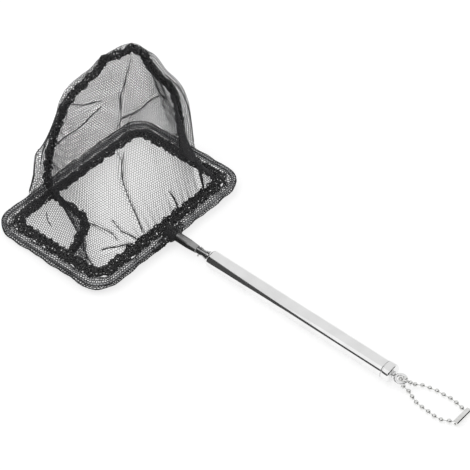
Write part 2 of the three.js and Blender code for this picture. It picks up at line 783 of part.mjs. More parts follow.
// Connector: a bent channel across the chain's end, open towards the eye, with a ball in
// each of its ends. Places of the chain are given from the middle of the eye.
const connectorBore = ballRadius + CONNECTOR_CLEARANCE;
const connectorRadius = connectorBore + CONNECTOR_WALL;
const connectorBall = CONNECTOR_LENGTH / 2 - CONNECTOR_WALL - connectorBore;
const connectorPlace = new THREE.Vector3(
  eyeX + CONNECTOR_REACH,
  CONNECTOR_SHIFT,
  connectorRadius + CONNECTOR_LIFT,
);
const half = CONNECTOR_LENGTH / 2;
const channel = lathe(
  [
    [-half, CONNECTOR_HOLE / 2],
    [-half, connectorRadius - 0.3],
    [0.3 - half, connectorRadius],
    [half - 0.3, connectorRadius],
    [half, connectorRadius - 0.3],
    [half, CONNECTOR_HOLE / 2],
    [half - CONNECTOR_WALL, CONNECTOR_HOLE / 2],
    [half - CONNECTOR_WALL, connectorBore],
    [CONNECTOR_WALL - half, connectorBore],
    [CONNECTOR_WALL - half, CONNECTOR_HOLE / 2],
  ],
  CHANNEL_SIDES,
).rotateZ(Math.PI / 2);
const mouthReach = 2 * connectorRadius;
const mouthSpread = mouthReach * Math.tan(THREE.MathUtils.degToRad(CONNECTOR_OPENING / 2));
const mouth = new THREE.ExtrudeGeometry(
  new THREE.Shape([
    new THREE.Vector2(0, 0),
    new THREE.Vector2(-mouthReach, mouthSpread),
    new THREE.Vector2(-mouthReach, -mouthSpread),
  ]),
  { depth: 2 * CONNECTOR_LENGTH, bevelEnabled: false },
)
  .translate(0, 0, -CONNECTOR_LENGTH)
  .rotateX(Math.PI / 2);
piece("chain_connector", cut(channel, mouth).translate(...connectorPlace), nickel);

// The chain's two runs, from the ball in the eye's hole to the balls in the connector.
const upperRoute = [
  [0, 0, 6.1],
  [3.4, 0, 9.5],
  [6.4, 2, 5.7],
  [7.9, 5.4, 2.6],
  [11, 8.2, 1.75],
  [15.5, 9.4, 1.65],
  [20.1, 10.4, 1.65],
  [24.9, 10.6, 1.65],
  [29.4, 11.1, 1.65],
  [34.3, 10.6, 1.65],
  [38.8, 9.6, 1.8],
];
const lowerRoute = [
  [0, 0, 6.1],
  [2.8, -0.4, 1.75],
  [7.4, -1.2, 1.65],
  [12, -3.5, 1.65],
  [17, -5.3, 1.65],
  [22, -5.7, 1.65],
  [26.4, -5.9, 1.65],
  [31.1, -6.3, 1.65],
  [35.7, -5.6, 1.65],
  [40, -3, 1.8],
];

/** The balls' middles along a run, evenly spaced, ending at a ball in the connector. */
function ballsAlong(places, side, count) {
  const points = places.map(([x, y, z]) => new THREE.Vector3(eyeX + x, y, z));
  points.push(connectorPlace.clone().add(new THREE.Vector3(0, side * connectorBall, 0)));
  return new THREE.CatmullRomCurve3(points, false, "centripetal").getSpacedPoints(count);
}

/** Turns a piece that points along +X towards a direction. */
function aimed(geometry, direction) {
  const turn = new THREE.Quaternion().setFromUnitVectors(new THREE.Vector3(1, 0, 0), direction);
  return geometry.applyQuaternion(turn);
}

/** Points of an arc in a turned profile, from one angle off the +X axis to another in degrees. */
function turnedArc(radius, from, to, steps) {
  return Array.from({ length: steps + 1 }, (_, i) => {
    const turn = THREE.MathUtils.degToRad(from + ((to - from) * i) / steps);
    return [radius * Math.cos(turn), i === steps && to === 180 ? 0 : radius * Math.sin(turn)];
  });
}

/** A hollow ball with a hole for the rod of the ball before it, and its own rod to the next. */
function ball(here, before, after) {
  const bore = ballRadius - BALL_WALL;
  const rim = (radius) => THREE.MathUtils.radToDeg(Math.asin(BALL_HOLE / 2 / radius));
  const inside = turnedArc(bore, rim(bore), 180, BALL_STEPS - 2);
  const shell = [...turnedArc(ballRadius, rim(ballRadius), 180, BALL_STEPS), ...inside.toReversed()];
  let made = solid(aimed(lathe(shell, BALL_SIDES), before.clone().sub(here).normalize()));
  if (after) {
    const way = after.clone().sub(here);
    const reach = way.length() - ROD_HEAD_SEAT;
    const headRound = ROD_HEAD_DIAMETER / 2;
    const rodProfile = [
      [ballRadius - BALL_WALL / 2, 0],
      [ballRadius - BALL_WALL / 2, ROD_DIAMETER / 2],
      [reach - headRound * 0.8, ROD_DIAMETER / 2],
      [reach, headRound],
      [reach + headRound * 0.8, headRound * 0.5],
      [reach + headRound * 0.8, 0],
    ];
    made = made.add(solid(aimed(lathe(rodProfile, 5), way.normalize())));
  }
  return shape(made).translate(...here);
}

const upper = ballsAlong(upperRoute, 1, UPPER_BALLS);
const lower = ballsAlong(lowerRoute, -1, LOWER_BALLS);
const chain = [...upper.toReversed(), ...lower.slice(1)];
chain.forEach((here, i) => {
  const number = String(i + 1).padStart(2, "0");
  const before = chain[i - 1] ?? here.clone().sub(new THREE.Vector3(0, 1, 0));
  piece(`chain_ball_${number}`, ball(here, before, chain[i + 1]), nickel);
});

// The origin: on the floor, under the middle of the net's box.
const box = new THREE.Box3().setFromObject(net);
const middleOf = box.getCenter(new THREE.Vector3());
net.position.set(-middleOf.x, -middleOf.y, -box.min.z);

export default net;
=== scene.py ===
"""Looks of a small telescopic landing net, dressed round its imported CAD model.

Sizes are in millimetres along the handle's own axes: X runs from the hoop to the eye, x = 0
is the hoop's outline on the handle's side, and z = 0 is the floor. They are turned to the
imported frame, in metres, when a piece is made.
"""

from __future__ import annotations

import logging
import math
from dataclasses import dataclass
from enum import Enum
from typing import Callable, Sequence

import bpy
import numpy as np
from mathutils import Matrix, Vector


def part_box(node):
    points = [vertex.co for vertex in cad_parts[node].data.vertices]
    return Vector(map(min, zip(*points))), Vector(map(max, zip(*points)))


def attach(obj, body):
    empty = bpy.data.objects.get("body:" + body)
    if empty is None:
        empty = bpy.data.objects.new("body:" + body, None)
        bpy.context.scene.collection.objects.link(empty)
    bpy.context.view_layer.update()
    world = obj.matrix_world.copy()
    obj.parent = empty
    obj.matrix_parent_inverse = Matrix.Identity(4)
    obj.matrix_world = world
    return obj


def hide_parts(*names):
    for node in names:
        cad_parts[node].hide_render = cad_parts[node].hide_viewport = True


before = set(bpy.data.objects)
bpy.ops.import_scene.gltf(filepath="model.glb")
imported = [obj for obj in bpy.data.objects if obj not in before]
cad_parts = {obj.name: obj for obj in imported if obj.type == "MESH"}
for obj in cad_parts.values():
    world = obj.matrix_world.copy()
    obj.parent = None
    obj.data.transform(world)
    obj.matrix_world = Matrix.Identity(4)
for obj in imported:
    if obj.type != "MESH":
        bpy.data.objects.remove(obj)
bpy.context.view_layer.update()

log = logging.getLogger("landing_net")
Pair = tuple[float, float]
Point = tuple[float, float, float]
Array = np.ndarray
Surface = Callable[[Array, Array], Array]
Tree, Node, Object = bpy.types.NodeTree, bpy.types.Node, bpy.types.Object

MM = 0.001
AXIS_HEIGHT = 6.4  # of the handle over the floor
FAR_HEIGHT = 4.0  # of the wire over the floor, on the hoop's far side
GRIP_START, GRIP_END = 29.2, 172.7
NET_WIDTH, NET_DEPTH = 139.6, 98.6
WIRE_INSET, WIRE_CORNER = 1.95, 14.0
BAND_CORNER = 9.0
EYE_X = 184.35
DROOP = math.asin((AXIS_HEIGHT - FAR_HEIGHT) / (NET_DEPTH - 2 * WIRE_INSET))
LOW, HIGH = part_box("grip_tube")
SHIFT = np.array([LOW.x / MM - GRIP_START, 0.0, (LOW.z + HIGH.z) / MM / 2 - AXIS_HEIGHT])


def row(points: Array | Point) -> Array:
    """Turns places along the handle, in millimetres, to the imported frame, in metres."""
    return (np.asarray(points, float) + SHIFT) * MM


def linear(code: str) -> tuple[float, float, float, float]:
    """Turns an sRGB hex colour, such as "#1b1c1e", to a linear one with an alpha of one."""
    shares = (int(code[i : i + 2], 16) / 255 for i in (1, 3, 5))
    return (*(s / 12.92 if s <= 0.04045 else ((s + 0.055) / 1.055) ** 2.4 for s in shares), 1.0)


def add_node(
    tree: Tree, kind: str, inputs: dict | None = None, links: dict | None = None, **settings: object
) -> Node:
    """Adds a shader node with its settings, its sockets' values and its links.

    Args:
        tree: the node tree.
        kind: the node's type, after "ShaderNode".
        inputs: values by socket.
        links: by socket, a node whose first output it takes, or a pair of a node and its output.
        settings: the node's own properties.

    Returns:
        The new node.
    """
    node = tree.nodes.new("ShaderNode" + kind)
    for key, value in settings.items():
        setattr(node, key, value)
    for key, value in (inputs or {}).items():
        node.inputs[key].default_value = value
    for key, source in (links or {}).items():
        source, output = source if isinstance(source, tuple) else (source, 0)
        tree.links.new(source.outputs[output], node.inputs[key])
    return node


def start_material(name: str) -> tuple[bpy.types.Material, Tree]:
    """Starts a material with an empty node tree."""
    material = bpy.data.materials.new(name)
    material.use_nodes = True
    material.node_tree.nodes.clear()
    return material, material.node_tree


def noise(tree: Tree, spacing: float, detail: float, along: Point = (1, 1, 1)) -> Node:
    """Adds noise over the object's own coordinates.

    Args:
        tree: the node tree.
        spacing: the pattern's spacing in millimetres.
        detail: how many finer layers it has.
        along: how many times longer the pattern is along each axis.

    Returns:
        The noise node.
    """
    place = add_node(tree, "TexCoord")
    scale = {"Scale": tuple(1 / s for s in along)}
    place = add_node(tree, "Mapping", scale, {"Vector": (place, "Object")})
    values = {"Scale": 1 / (spacing * MM), "Detail": detail}
    return add_node(tree, "TexNoise", values, {"Vector": place})


@dataclass(frozen=True)
class Coat:
    """A surface whose colour and roughness drift in clouds, over a fine grain in relief."""

    name: str
    colours: tuple[str, str]
    roughness: Pair  # at each colour
    grain_mm: float
    relief_mm: float
    along: Point = (1, 1, 1)  # how many times longer the grain is along each axis
    cloud_mm: float = 9.0
    detail: Pair = (4, 3)  # of the clouds and of the grain
    strength: float = 0.6
    sockets: tuple[tuple[str, float], ...] = (("Metallic", 1.0),)

    def grain(self, tree: Tree) -> Node:
        """Adds the grain."""
        return noise(tree, self.grain_mm, self.detail[1], self.along)

    def material(self) -> bpy.types.Material:
        """Builds the material.

        Returns:
            The coat, ready to assign.
        """
        material, tree = start_material(self.name)
        clouds = noise(tree, self.cloud_mm, self.detail[0])
        ramp = add_node(tree, "ValToRGB", links={"Fac": (clouds, "Fac")})
        for element, place, colour in zip(ramp.color_ramp.elements, (0.35, 0.65), self.colours):
            element.position, element.color = place, linear(colour)
        low, high = self.roughness
        span = {"From Min": 0.3, "From Max": 0.7, "To Min": low, "To Max": high}
        rough = add_node(tree, "MapRange", span, {"Value": (clouds, "Fac")})
        relief = {"Strength": self.strength, "Distance": self.relief_mm * MM}
        bump = add_node(tree, "Bump", relief, {"Height": (self.grain(tree), "Fac")})
        links = {"Base Color": ramp, "Roughness": rough, "Normal": bump}
        shader = add_node(tree, "BsdfPrincipled", dict(self.sockets), links)
        add_node(tree, "OutputMaterial", links={"Surface": shader})
        return material


@dataclass(frozen=True)
class Yarn(Coat):
    """A dyed filament yarn: its grain is its twisted plies, and its clouds are lint."""

    cloud_mm: float = 2.6
    detail: Pair = (3, 0)
    strength: float = 0.7

    def grain(self, tree: Tree) -> Node:
        """Adds the plies, as slanted waves."""
        values = {"Scale": 0.31 / (self.grain_mm * MM), "Distortion": 3.0, "Detail": 1.0}
        place = {"Vector": (add_node(tree, "TexCoord"), "Object")}
        return add_node(tree, "TexWave", values, place, bands_direction="DIAGONAL")


def sheen(weight: float) -> tuple[tuple[str, float], ...]:
    """The sockets of a dyed yarn, by the weight of its sheen."""
    return ("Sheen Weight", weight), ("Sheen Roughness", 0.4), ("IOR", 1.53)


DRAWN = (40, 1, 1)  # long lines along the handle


class Finish(Enum):
    """The net's finishes. Each is built once, when it is first used."""

    # Polished and chromed: a near-mirror, with faint long lines from the draw and handling.
    CHROME = Coat(
        "chromed_steel_polished", ("#ececec", "#f3f3f3"), (0.1, 0.05), 0.25, 0.0012, DRAWN
    )
    # Drawn tube, bright-plated but not buffed: lines along it soften what it mirrors.
    DRAWN_TUBE = Coat(
        "nickel_plated_steel_drawn", ("#c8c8c8", "#dcdcdc"), (0.2, 0.1), 0.16, 0.002, DRAWN
    )
    # Hot-dip galvanised wire: pale, nearly matt, with long streaks. It shows the mesh over it.
    WIRE = Coat("galvanised_steel_drawn", ("#bfc0c2", "#d2d3d4"), (0.54, 0.42), 0.2, 0.004, DRAWN)
    # Swaged and dull nickel: greyer than the tubes, with soft lines along it.
    SWAGED = Coat(
        "nickel_plated_steel_swaged", ("#8c8c8c", "#a6a6a6"), (0.3, 0.2), 0.3, 0.006, DRAWN
    )
    # Rolled and barrel-plated: bright, with small dents and blurs.
    NICKEL = Coat(
        "nickel_plated_brass_rolled", ("#e0e0de", "#ededec"), (0.17, 0.09), 0.5, 0.004, cloud_mm=1.6
    )
    # Rolled strip: satin and yellow-brown, with lines round the ring.
    BRONZE = Coat(
        "phosphor_bronze_rolled", ("#9a7a45", "#b9975b"), (0.42, 0.32), 0.2, 0.004, (1, 12, 12)
    )
    # Moulded acetal: an even, slightly waxy black, with a fine spark-eroded grain.
    ACETAL = Coat(
        "acetal_moulded",
        ("#1f2022", "#26272a"),
        (0.46, 0.46),
        0.3,
        0.02,
        cloud_mm=6.0,
        detail=(2, 2),
        strength=0.5,
        sockets=(("IOR", 1.48),),
    )
    # Knitted nylon filament: black, with a dim shine along each strand.
    NYLON = Yarn(
        "nylon_filament_knitted",
        ("#29292b", "#37373b"),
        (0.5, 0.65),
        0.5,
        0.03,
        sockets=sheen(0.15),
    )
    # Overlocked polyester thread: a deeper black, matt and lumpy, with paler lint.
    THREAD = Yarn(
        "polyester_thread_overlocked",
        ("#121213", "#232325"),
        (0.72, 0.87),
        0.6,
        0.12,
        sockets=sheen(0.3),
    )

    def built(self) -> bpy.types.Material:
        """Returns this finish's material, building it the first time."""
        return bpy.data.materials.get(self.value.name) or self.value.material()


def only(obj: Object) -> None:
    """Selects one object and makes it active."""
    bpy.ops.object.select_all(action="DESELECT")
    obj.select_set(True)
    bpy.context.view_layer.objects.active = obj


def fix_place(obj: Object) -> None:
    """Selects one object and moves its place and its turn into its mesh."""
    only(obj)
    bpy.ops.object.transform_apply(location=True, rotation=True, scale=True)


def leave_edit() -> None:
    """Turns all faces of the mesh in hand outward, and ends its editing."""
    bpy.ops.mesh.select_all(action="SELECT")
    bpy.ops.mesh.normals_make_consistent(inside=False)
    bpy.ops.object.mode_set(mode="OBJECT")


def settle(
    obj: Object, body: str, slot: str, finish: Finish, *nodes: str, crease: float | None = 32.0
) -> None:
    """Puts a finished mesh in its place, dresses it and ties it to its CAD body.

    Args:
        obj: the new piece.
        body: the CAD body that it rides on.
        slot: the record's material slot. It is not used.
        finish: what it is made of.
        nodes: the CAD nodes that it stands for.
        crease: the sharpest angle that is shaded smooth, in degrees, or None for all.
    """
    fix_place(obj)
    if crease is not None:
        bpy.ops.object.shade_smooth_by_angle(angle=math.radians(crease))
    obj.data.materials.clear()
    obj.data.materials.append(finish.built())
    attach(obj, body)
    if nodes:
        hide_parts(*nodes)
    log.info("%s: %d faces", obj.name, len(obj.data.polygons))


def vertices(obj: Object) -> Array:
    """A mesh's vertices."""
    places = np.zeros(len(obj.data.vertices) * 3)
    obj.data.vertices.foreach_get("co", places)
    return places.reshape(-1, 3)


def set_vertices(obj: Object, places: Array) -> Object:
    """Moves a mesh's vertices and returns the piece."""
    obj.data.vertices.foreach_set("co", np.ascontiguousarray(places, float).ravel())
    obj.data.update()
    return obj


def turn(name: str, profile: Sequence[Pair], sides: int) -> Object:
    """Turns a piece on the handle's axis: its profile is drawn point by point, then spun.

    Args:
        name: the piece's name.
        profile: (x, radius) pairs. One that ends off the axis is closed on itself.
        sides: how many sides the turned piece has.

    Returns:
        The piece, its doubles merged and its faces pointing out.
    """
    points = list(profile)
    if points[-1][1] > 0:
        points.append(points[0])
    x, radius = points[0]
    bpy.ops.object.select_all(action="DESELECT")
    centre = Vector(row((x, 0, AXIS_HEIGHT)))
    bpy.ops.mesh.primitive_plane_add(size=MM, location=centre + Vector((0, 0, radius * MM)))
    obj = bpy.context.object
    obj.name = name
    bpy.ops.object.mode_set(mode="EDIT")
    bpy.ops.mesh.merge(type="CENTER")
    for next_x, next_radius in points[1:]:
        step = ((next_x - x) * MM, 0, (next_radius - radius) * MM)
        bpy.ops.mesh.extrude_vertices_move(TRANSFORM_OT_translate={"value": step})
        x, radius = next_x, next_radius
    bpy.ops.mesh.select_all(action="SELECT")
    bpy.ops.mesh.spin(steps=sides, angle=2 * math.pi, center=centre, axis=(1, 0, 0))
    bpy.ops.mesh.select_all(action="SELECT")
    bpy.ops.mesh.remove_doubles(threshold=0.002 * MM)
    leave_edit()
    return obj


def turned_loose(name: str, profile: Sequence[Pair], sides: int) -> Object:
    """Turns a piece, as turn does, and moves it from the handle's axis to the origin."""
    obj = turn(name, profile, sides)
    fix_place(obj)
    return set_vertices(obj, vertices(obj) - row((0, 0, AXIS_HEIGHT)))


def rounded(x: float, radius: float, edge: float, start: float, end: float) -> list[Pair]:
    """Seven profile points of a rounded edge.

    Args:
        x: the middle of the rounding, along the axis.
        radius: the middle of the rounding, off the axis.
        edge: the rounding's own radius.
        start: where it starts, in degrees off +X.
        end: where it ends.

    Returns:
        (x, radius) pairs.
    """
    turns = np.radians(np.linspace(start, end, 7))
    return [(x + edge * math.cos(t), radius + edge * math.sin(t)) for t in turns]


@dataclass
class Grip:
    """The chromed grip tube, its end cap and the eye."""

    radius: float = 6.0
    bore: float = 5.6
    lip: float = 0.25
    cap_radius: float = 6.4
    cap_end: float = 178.9
    eye_radius: float = 3.4125
    eye_wire: float = 1.15

    def tube(self) -> None:
        """Makes the grip tube, with its rolled and tapered mouth."""
        lip = ((1 - math.cos(t), math.sin(t)) for t in (0, 0.8, 1.57))
        profile = [(GRIP_START, 3.4)]
        profile += [(GRIP_START + self.lip * x, 3.6 + self.lip * off) for x, off in lip]
        profile += [(30.3, 3.85), (30.55, 3.98), (31.9, 5.35)]
        profile += [(32.15, 5.62), (32.45, 5.84), (32.8, 5.95), (33.3, self.radius)]
        profile += [(GRIP_END - 0.15, self.radius), (GRIP_END, self.radius - 0.12)]
        profile += [(GRIP_END, self.bore), (32.75, self.bore), (30.55, 3.4)]
        settle(turn("grip_skin", profile, 96), "grip", "chrome", Finish.CHROME, "grip_tube")

    def cap(self) -> None:
        """Makes the end cap: its groove, its rounded flange and the seat of the eye's collar."""
        start, end = GRIP_END + 0.1, self.cap_end
        profile = [(start, 1.4), (start, 5.6), (start + 0.7, 5.6)]
        profile += rounded(start + 1.0, self.cap_radius - 0.3, 0.3, 180, 90)
        profile += rounded(end - 1.6, self.cap_radius - 1.6, 1.6, 90, 0)
        profile += [(end, 2.4), (end - 0.4, 2.4), (end - 0.4, 1.4)]
        settle(turn("cap_skin", profile, 96), "grip", "chrome", Finish.CHROME, "end_cap")

    def eye(self) -> None:
        """Makes the eye: a torus joined to its turned shank and collar."""
        start, neck = self.cap_end - 0.3, EYE_X - self.eye_radius
        profile = [(164.9, 0), (164.9, 1.0), (165.2, 1.3), (start, 1.3), (start, 2.05)]
        profile += [(start + 0.15, 2.2), (179.65, 2.2), (179.8, 2.05), (179.8, 1.75)]
        profile += [(180.1, 1.55), (neck - 0.4, 1.05), (neck, 0.95), (neck, 0)]
        shank = turn("eye_shank", profile, 40)
        bpy.ops.object.select_all(action="DESELECT")
        bpy.ops.mesh.primitive_torus_add(
            major_segments=64,
            minor_segments=24,
            major_radius=self.eye_radius * MM,
            minor_radius=self.eye_wire * MM,
            location=row((EYE_X, 0, AXIS_HEIGHT)),
        )
        ring = bpy.context.object
        ring.name = "eye_ring"
        only(ring)
        joint = ring.modifiers.new("joint", "BOOLEAN")
        joint.operation = "UNION"
        joint.object = shank
        bpy.ops.object.modifier_apply(modifier="joint")
        bpy.data.objects.remove(shank)
        settle(ring, "grip", "chrome", Finish.CHROME, "eye", crease=45)

    def build(self) -> None:
        """Makes the grip's pieces."""
        self.tube()
        self.cap()
        self.eye()


@dataclass
class Stage:
    """A stage of the telescopic tube: rolled mouth, plain run, swaged seat and end flange."""

    node: str
    body: str
    radius: float
    start: float
    end: float
    seat: float  # radius of the seat at its inner end
    mouth: float  # radius inside its rolled mouth
    wall: float = 0.25
    seat_length: float = 9.0

    def build(self) -> None:
        """Makes the stage."""
        radius, start, end, seat = self.radius, self.start, self.end, self.seat
        flange = end - 0.6
        step = flange - self.seat_length
        profile = [(start, self.mouth), (start, radius - 0.16), (start + 0.06, radius - 0.05)]
        profile += [(start + 0.18, radius), (step - 0.5, radius), (step, seat), (flange, seat)]
        profile += [(flange, radius), (end, radius), (end, seat - self.wall)]
        profile += [(step - self.wall, seat - self.wall)]
        profile += [(step - self.wall - 0.5, radius - self.wall), (start + 1.5, radius - self.wall)]
        profile += [(start + 1.2, self.mouth)]
        piece = turn(self.node + "_skin", profile, 64)
        settle(piece, self.body, "plated_steel", Finish.DRAWN_TUBE, self.node)


STAGES = (
    Stage("outer_tube", "outer_stage", 3.3, 27.9, 160.3, 2.9, 2.93),
    Stage("middle_tube", "middle_stage", 2.85, 26.6, 149.8, 2.65, 2.48),
    Stage("head_tube", "net_head", 2.4, 20.3, 139.3, 2.2, 2.14),
)


@dataclass
class Hoop:
    """The wire hoop, the ferrule over its two legs and the rivet."""

    wire: float = 1.2
    bend: float = 2.6
    leg_end: float = 12.65
    leg_y: float = 1.35
    rivet_x: float = 22.3

    def bent_wire(self) -> None:
        """Bends the wire as on a jig: its round end is extruded, and spun at each bend."""
        bend, leg = self.bend - WIRE_INSET, self.leg_y + self.bend
        near, far = -WIRE_INSET - WIRE_CORNER, WIRE_INSET + WIRE_CORNER - NET_DEPTH
        side = NET_WIDTH / 2 - WIRE_INSET - WIRE_CORNER
        # A straight run along X and Y, or a bend's centre and its angle, clockwise above zero.
        path = [(bend - self.leg_end, 0, 0), (bend, leg, 90), (0, side - leg, 0)]
        path += [(near, side, -90), (far - near, 0, 0), (far, side, -90), (0, -2 * side, 0)]
        path += [(far, -side, -90), (near - far, 0, 0), (near, -side, -90), (0, side - leg, 0)]
        path += [(bend, -leg, 90), (self.leg_end - bend, 0, 0)]
        bpy.ops.object.select_all(action="DESELECT")
        bpy.ops.mesh.primitive_circle_add(
            vertices=20,
            radius=self.wire * MM,
            fill_type="NGON",
            location=row((self.leg_end, self.leg_y, AXIS_HEIGHT)),
            rotation=(0, math.pi / 2, 0),
        )
        obj = bpy.context.object
        obj.name = "hoop_skin"
        bpy.ops.object.mode_set(mode="EDIT")
        for x, y, degrees in path:
            if degrees:
                centre = row((x, y, AXIS_HEIGHT))
                steps = 8 if degrees > 0 else 12
                angle = math.radians(degrees)
                bpy.ops.mesh.spin(steps=steps, angle=angle, center=centre, axis=(0, 0, 1))
            else:
                step = {"value": (x * MM, y * MM, 0)}
                bpy.ops.mesh.extrude_region_move(TRANSFORM_OT_translate=step)
        leave_edit()
        fix_place(obj)
        flat = vertices(obj) / MM - SHIFT - (0, 0, AXIS_HEIGHT)
        set_vertices(obj, row(leaned(flat)))
        settle(obj, "net_head", "hoop_steel", Finish.WIRE, "wire_hoop")

    def ferrule(self) -> None:
        """Makes the ferrule, narrowing from the two legs to the joining plug."""
        profile = [(2.5, 2.65), (2.5, 3.0), *rounded(2.8, 2.9, 0.3, 150, 90), (12.0, 3.2)]
        profile += [(12.6, 3.16), (19.2, 2.72), (19.7, 2.65), (20.0, 2.45), (20.0, 2.15)]
        profile += [(12.95, 2.15), (12.65, 2.65)]
        piece = turn("ferrule_skin", profile, 64)
        settle(piece, "net_head", "plated_steel", Finish.SWAGED, "ferrule")

    def rivet(self) -> None:
        """Makes the rivet across the thinnest stage, half way down, with its domed head."""
        profile = [(-3.9, 0), (-3.9, 0.4), (-3.75, 0.6), (2.5, 0.6), (2.5, 1.05), (2.58, 1.1)]
        profile += [(2.75, 1.0), (2.92, 0.7), (3.0, 0.3), (3.02, 0)]
        piece = turned_loose("rivet_skin", profile, 28)
        slant = math.sqrt(0.5)
        ways = np.array([(0, slant, slant), (0, -slant, slant), (1, 0, 0)])
        set_vertices(piece, vertices(piece) @ ways + row((self.rivet_x, 0, AXIS_HEIGHT)))
        settle(piece, "net_head", "nickel", Finish.NICKEL, "cross_rivet")

    def build(self) -> None:
        """Makes the hoop's pieces."""
        self.bent_wire()
        self.ferrule()
        self.rivet()


STRAND_LAP = 0.08  # how far a strand of yarn runs past its knots
ROW_SHARE = 0.866  # from one row of knots to the next, as a share of the pitch
CORNER_POINTS = 17  # in each corner of a line round the hoop
CREST_STEP = 0.8  # between the places that a fold's height is measured from
PLEAT_STEP = 0.62  # between the knots along a pleat
EDGE_SLACK = 1e-6  # the share by which a knot may lie outside a triangle of the cut


def leaned(points: Array) -> Array:
    """Leans places of the flat hoop down to the floor, about the handle's end.

    Args:
        points: places with their height given from the hoop's own plane.

    Returns:
        The places along the handle's axes.
    """
    x, y, up = np.asarray(points, float).T
    lean = np.where(x < 0, DROOP, 0.0)
    run, fall = np.cos(lean), np.sin(lean)
    return np.stack([x * run - up * fall, y, AXIS_HEIGHT + x * fall + up * run], 1)


def unit(ways: Array) -> Array:
    """Brings vectors to a length of one."""
    return ways / (np.linalg.norm(ways, axis=1, keepdims=True) + 1e-9)


def spanned(one: Array, two: Array) -> Array:
    """The area that two flat vectors span, below zero where the second lies clockwise."""
    return one[..., 0] * two[..., 1] - one[..., 1] * two[..., 0]


def eased(share: Array) -> Array:
    """A smooth rise from 0 to 1, over a share from 0 to 1."""
    share = np.clip(share, 0, 1)
    return share * share * (3 - 2 * share)


def smooth_line(points: Sequence[Point], steps: int = 12) -> Array:
    """A smooth line through points, by centripetal Catmull-Rom, as in the CAD source.

    Args:
        points: the places that it passes.
        steps: how many steps it takes between two of them.

    Returns:
        The places along it.
    """
    p = np.asarray(points, float)
    p = np.vstack([2 * p[0] - p[1], p, 2 * p[-1] - p[-2]])
    gaps = np.linalg.norm(np.diff(p, axis=0), axis=1) ** 0.5
    made = []
    for k in range(len(gaps) - 2):
        knots = np.concatenate([[0.0], np.cumsum(gaps[k : k + 3])])
        t = np.linspace(knots[1], knots[2], steps, endpoint=False)[:, None]
        parts = list(p[k : k + 4])
        for first, last in ((0, 1), (0, 2), (1, 2)):
            for i, (a, b) in enumerate(zip(parts, parts[1:])):
                start, end = knots[first + i], knots[last + i]
                parts[i] = ((end - t) * a + (t - start) * b) / (end - start)
            parts.pop()
        made.append(parts[0])
    return np.vstack([*made, p[-2:-1]])


class Line:
    """A line of places that is read by the share of its length."""

    def __init__(self, places: Array | Sequence[Point] | Sequence[Pair]) -> None:
        """Measures the line, and finds whether it ends where it starts."""
        self.places = np.asarray(places, float)
        steps = np.linalg.norm(np.diff(self.places, axis=0), axis=1)
        self.reach = np.concatenate([[0.0], np.cumsum(steps)])
        self.length = float(self.reach[-1])
        self.closed = math.dist(self.places[0], self.places[-1]) < 0.01

    def within(self, share: Array) -> Array:
        """Brings shares to 0 to 1: round a closed line, and to the ends of an open one."""
        return share % 1.0 if self.closed else np.clip(share, 0, 1)

    def at(self, share: Array) -> Array:
        """The places at shares of the length, one for each."""
        here = self.within(share) * self.length
        return np.stack([np.interp(here, self.reach, c) for c in self.places.T], -1)


def hoop_line(inset: float, corner: float) -> Array:
    """A line round the flat hoop, from the middle of the near side round by +Y.

    Args:
        inset: how far it lies inside the outline.
        corner: its corner radius.

    Returns:
        (x, y, 0) places. The last is the first again.
    """
    near, far = -inset - corner, inset + corner - NET_DEPTH
    side = NET_WIDTH / 2 - inset - corner
    made = [(-inset, 0.0, 0.0)]
    for k, (x, y) in enumerate(((near, side), (far, side), (far, -side), (near, -side))):
        for turned in np.radians(np.linspace(90 * k, 90 * k + 90, CORNER_POINTS)):
            made.append((x + corner * math.cos(turned), y + corner * math.sin(turned), 0.0))
    return np.array([*made, made[0]])


def add_object(name: str, data: bpy.types.ID) -> Object:
    """Adds an object to the scene."""
    obj = bpy.data.objects.new(name, data)
    bpy.context.scene.collection.objects.link(obj)
    return obj


def mesh_piece(name: str, places: Array, faces: Sequence[Array]) -> Object:
    """Makes a mesh from places and faces.

    Args:
        name: the piece's name.
        places: its vertices, in metres.
        faces: arrays of faces, each with one count of corners. They are shaded smooth.

    Returns:
        The piece.
    """
    mesh = bpy.data.meshes.new(name)
    corners = [face for some in faces for face in some.tolist()]
    mesh.from_pydata(places.tolist(), [], corners, shade_flat=False)
    mesh.validate()
    return add_object(name, mesh)


def strands(
    name: str, places: Array, normals: Array, pairs: Array, width: float, height: float
) -> Object:
    """Lays a closed three-sided strand of yarn along each pair of knots.

    Args:
        name: the piece's name.
        places: the knots, in millimetres along the handle.
        normals: which way is out at each knot.
        pairs: the two knots of each strand.
        width: a strand's width in millimetres.
        height: its height.

    Returns:
        The piece.
    """
    a, b = places[pairs[:, 0]], places[pairs[:, 1]]
    way = unit(b - a)
    side = unit(np.cross(normals[pairs].mean(1), way))
    out = np.cross(way, side)
    corners = []
    for end, reach in ((a, -STRAND_LAP), (b, STRAND_LAP)):
        foot = end + way * reach - out * height / 3
        corners += [foot + side * width / 2, foot - side * width / 2, foot + out * height]
    made = np.stack(corners, 1).reshape(-1, 3)
    first = np.arange(len(pairs))[:, None] * 6
    quads = np.concatenate([first + q for q in ([0, 1, 4, 3], [1, 2, 5, 4], [2, 0, 3, 5])])
    ends = np.concatenate([first + t for t in ([2, 1, 0], [3, 4, 5])])
    return mesh_piece(name, row(made), [quads, ends])


def chain(count: int, first: int = 0) -> Array:
    """The pairs that join places one after another."""
    here = np.arange(first, first + count - 1)
    return np.stack([here, here + 1], 1)


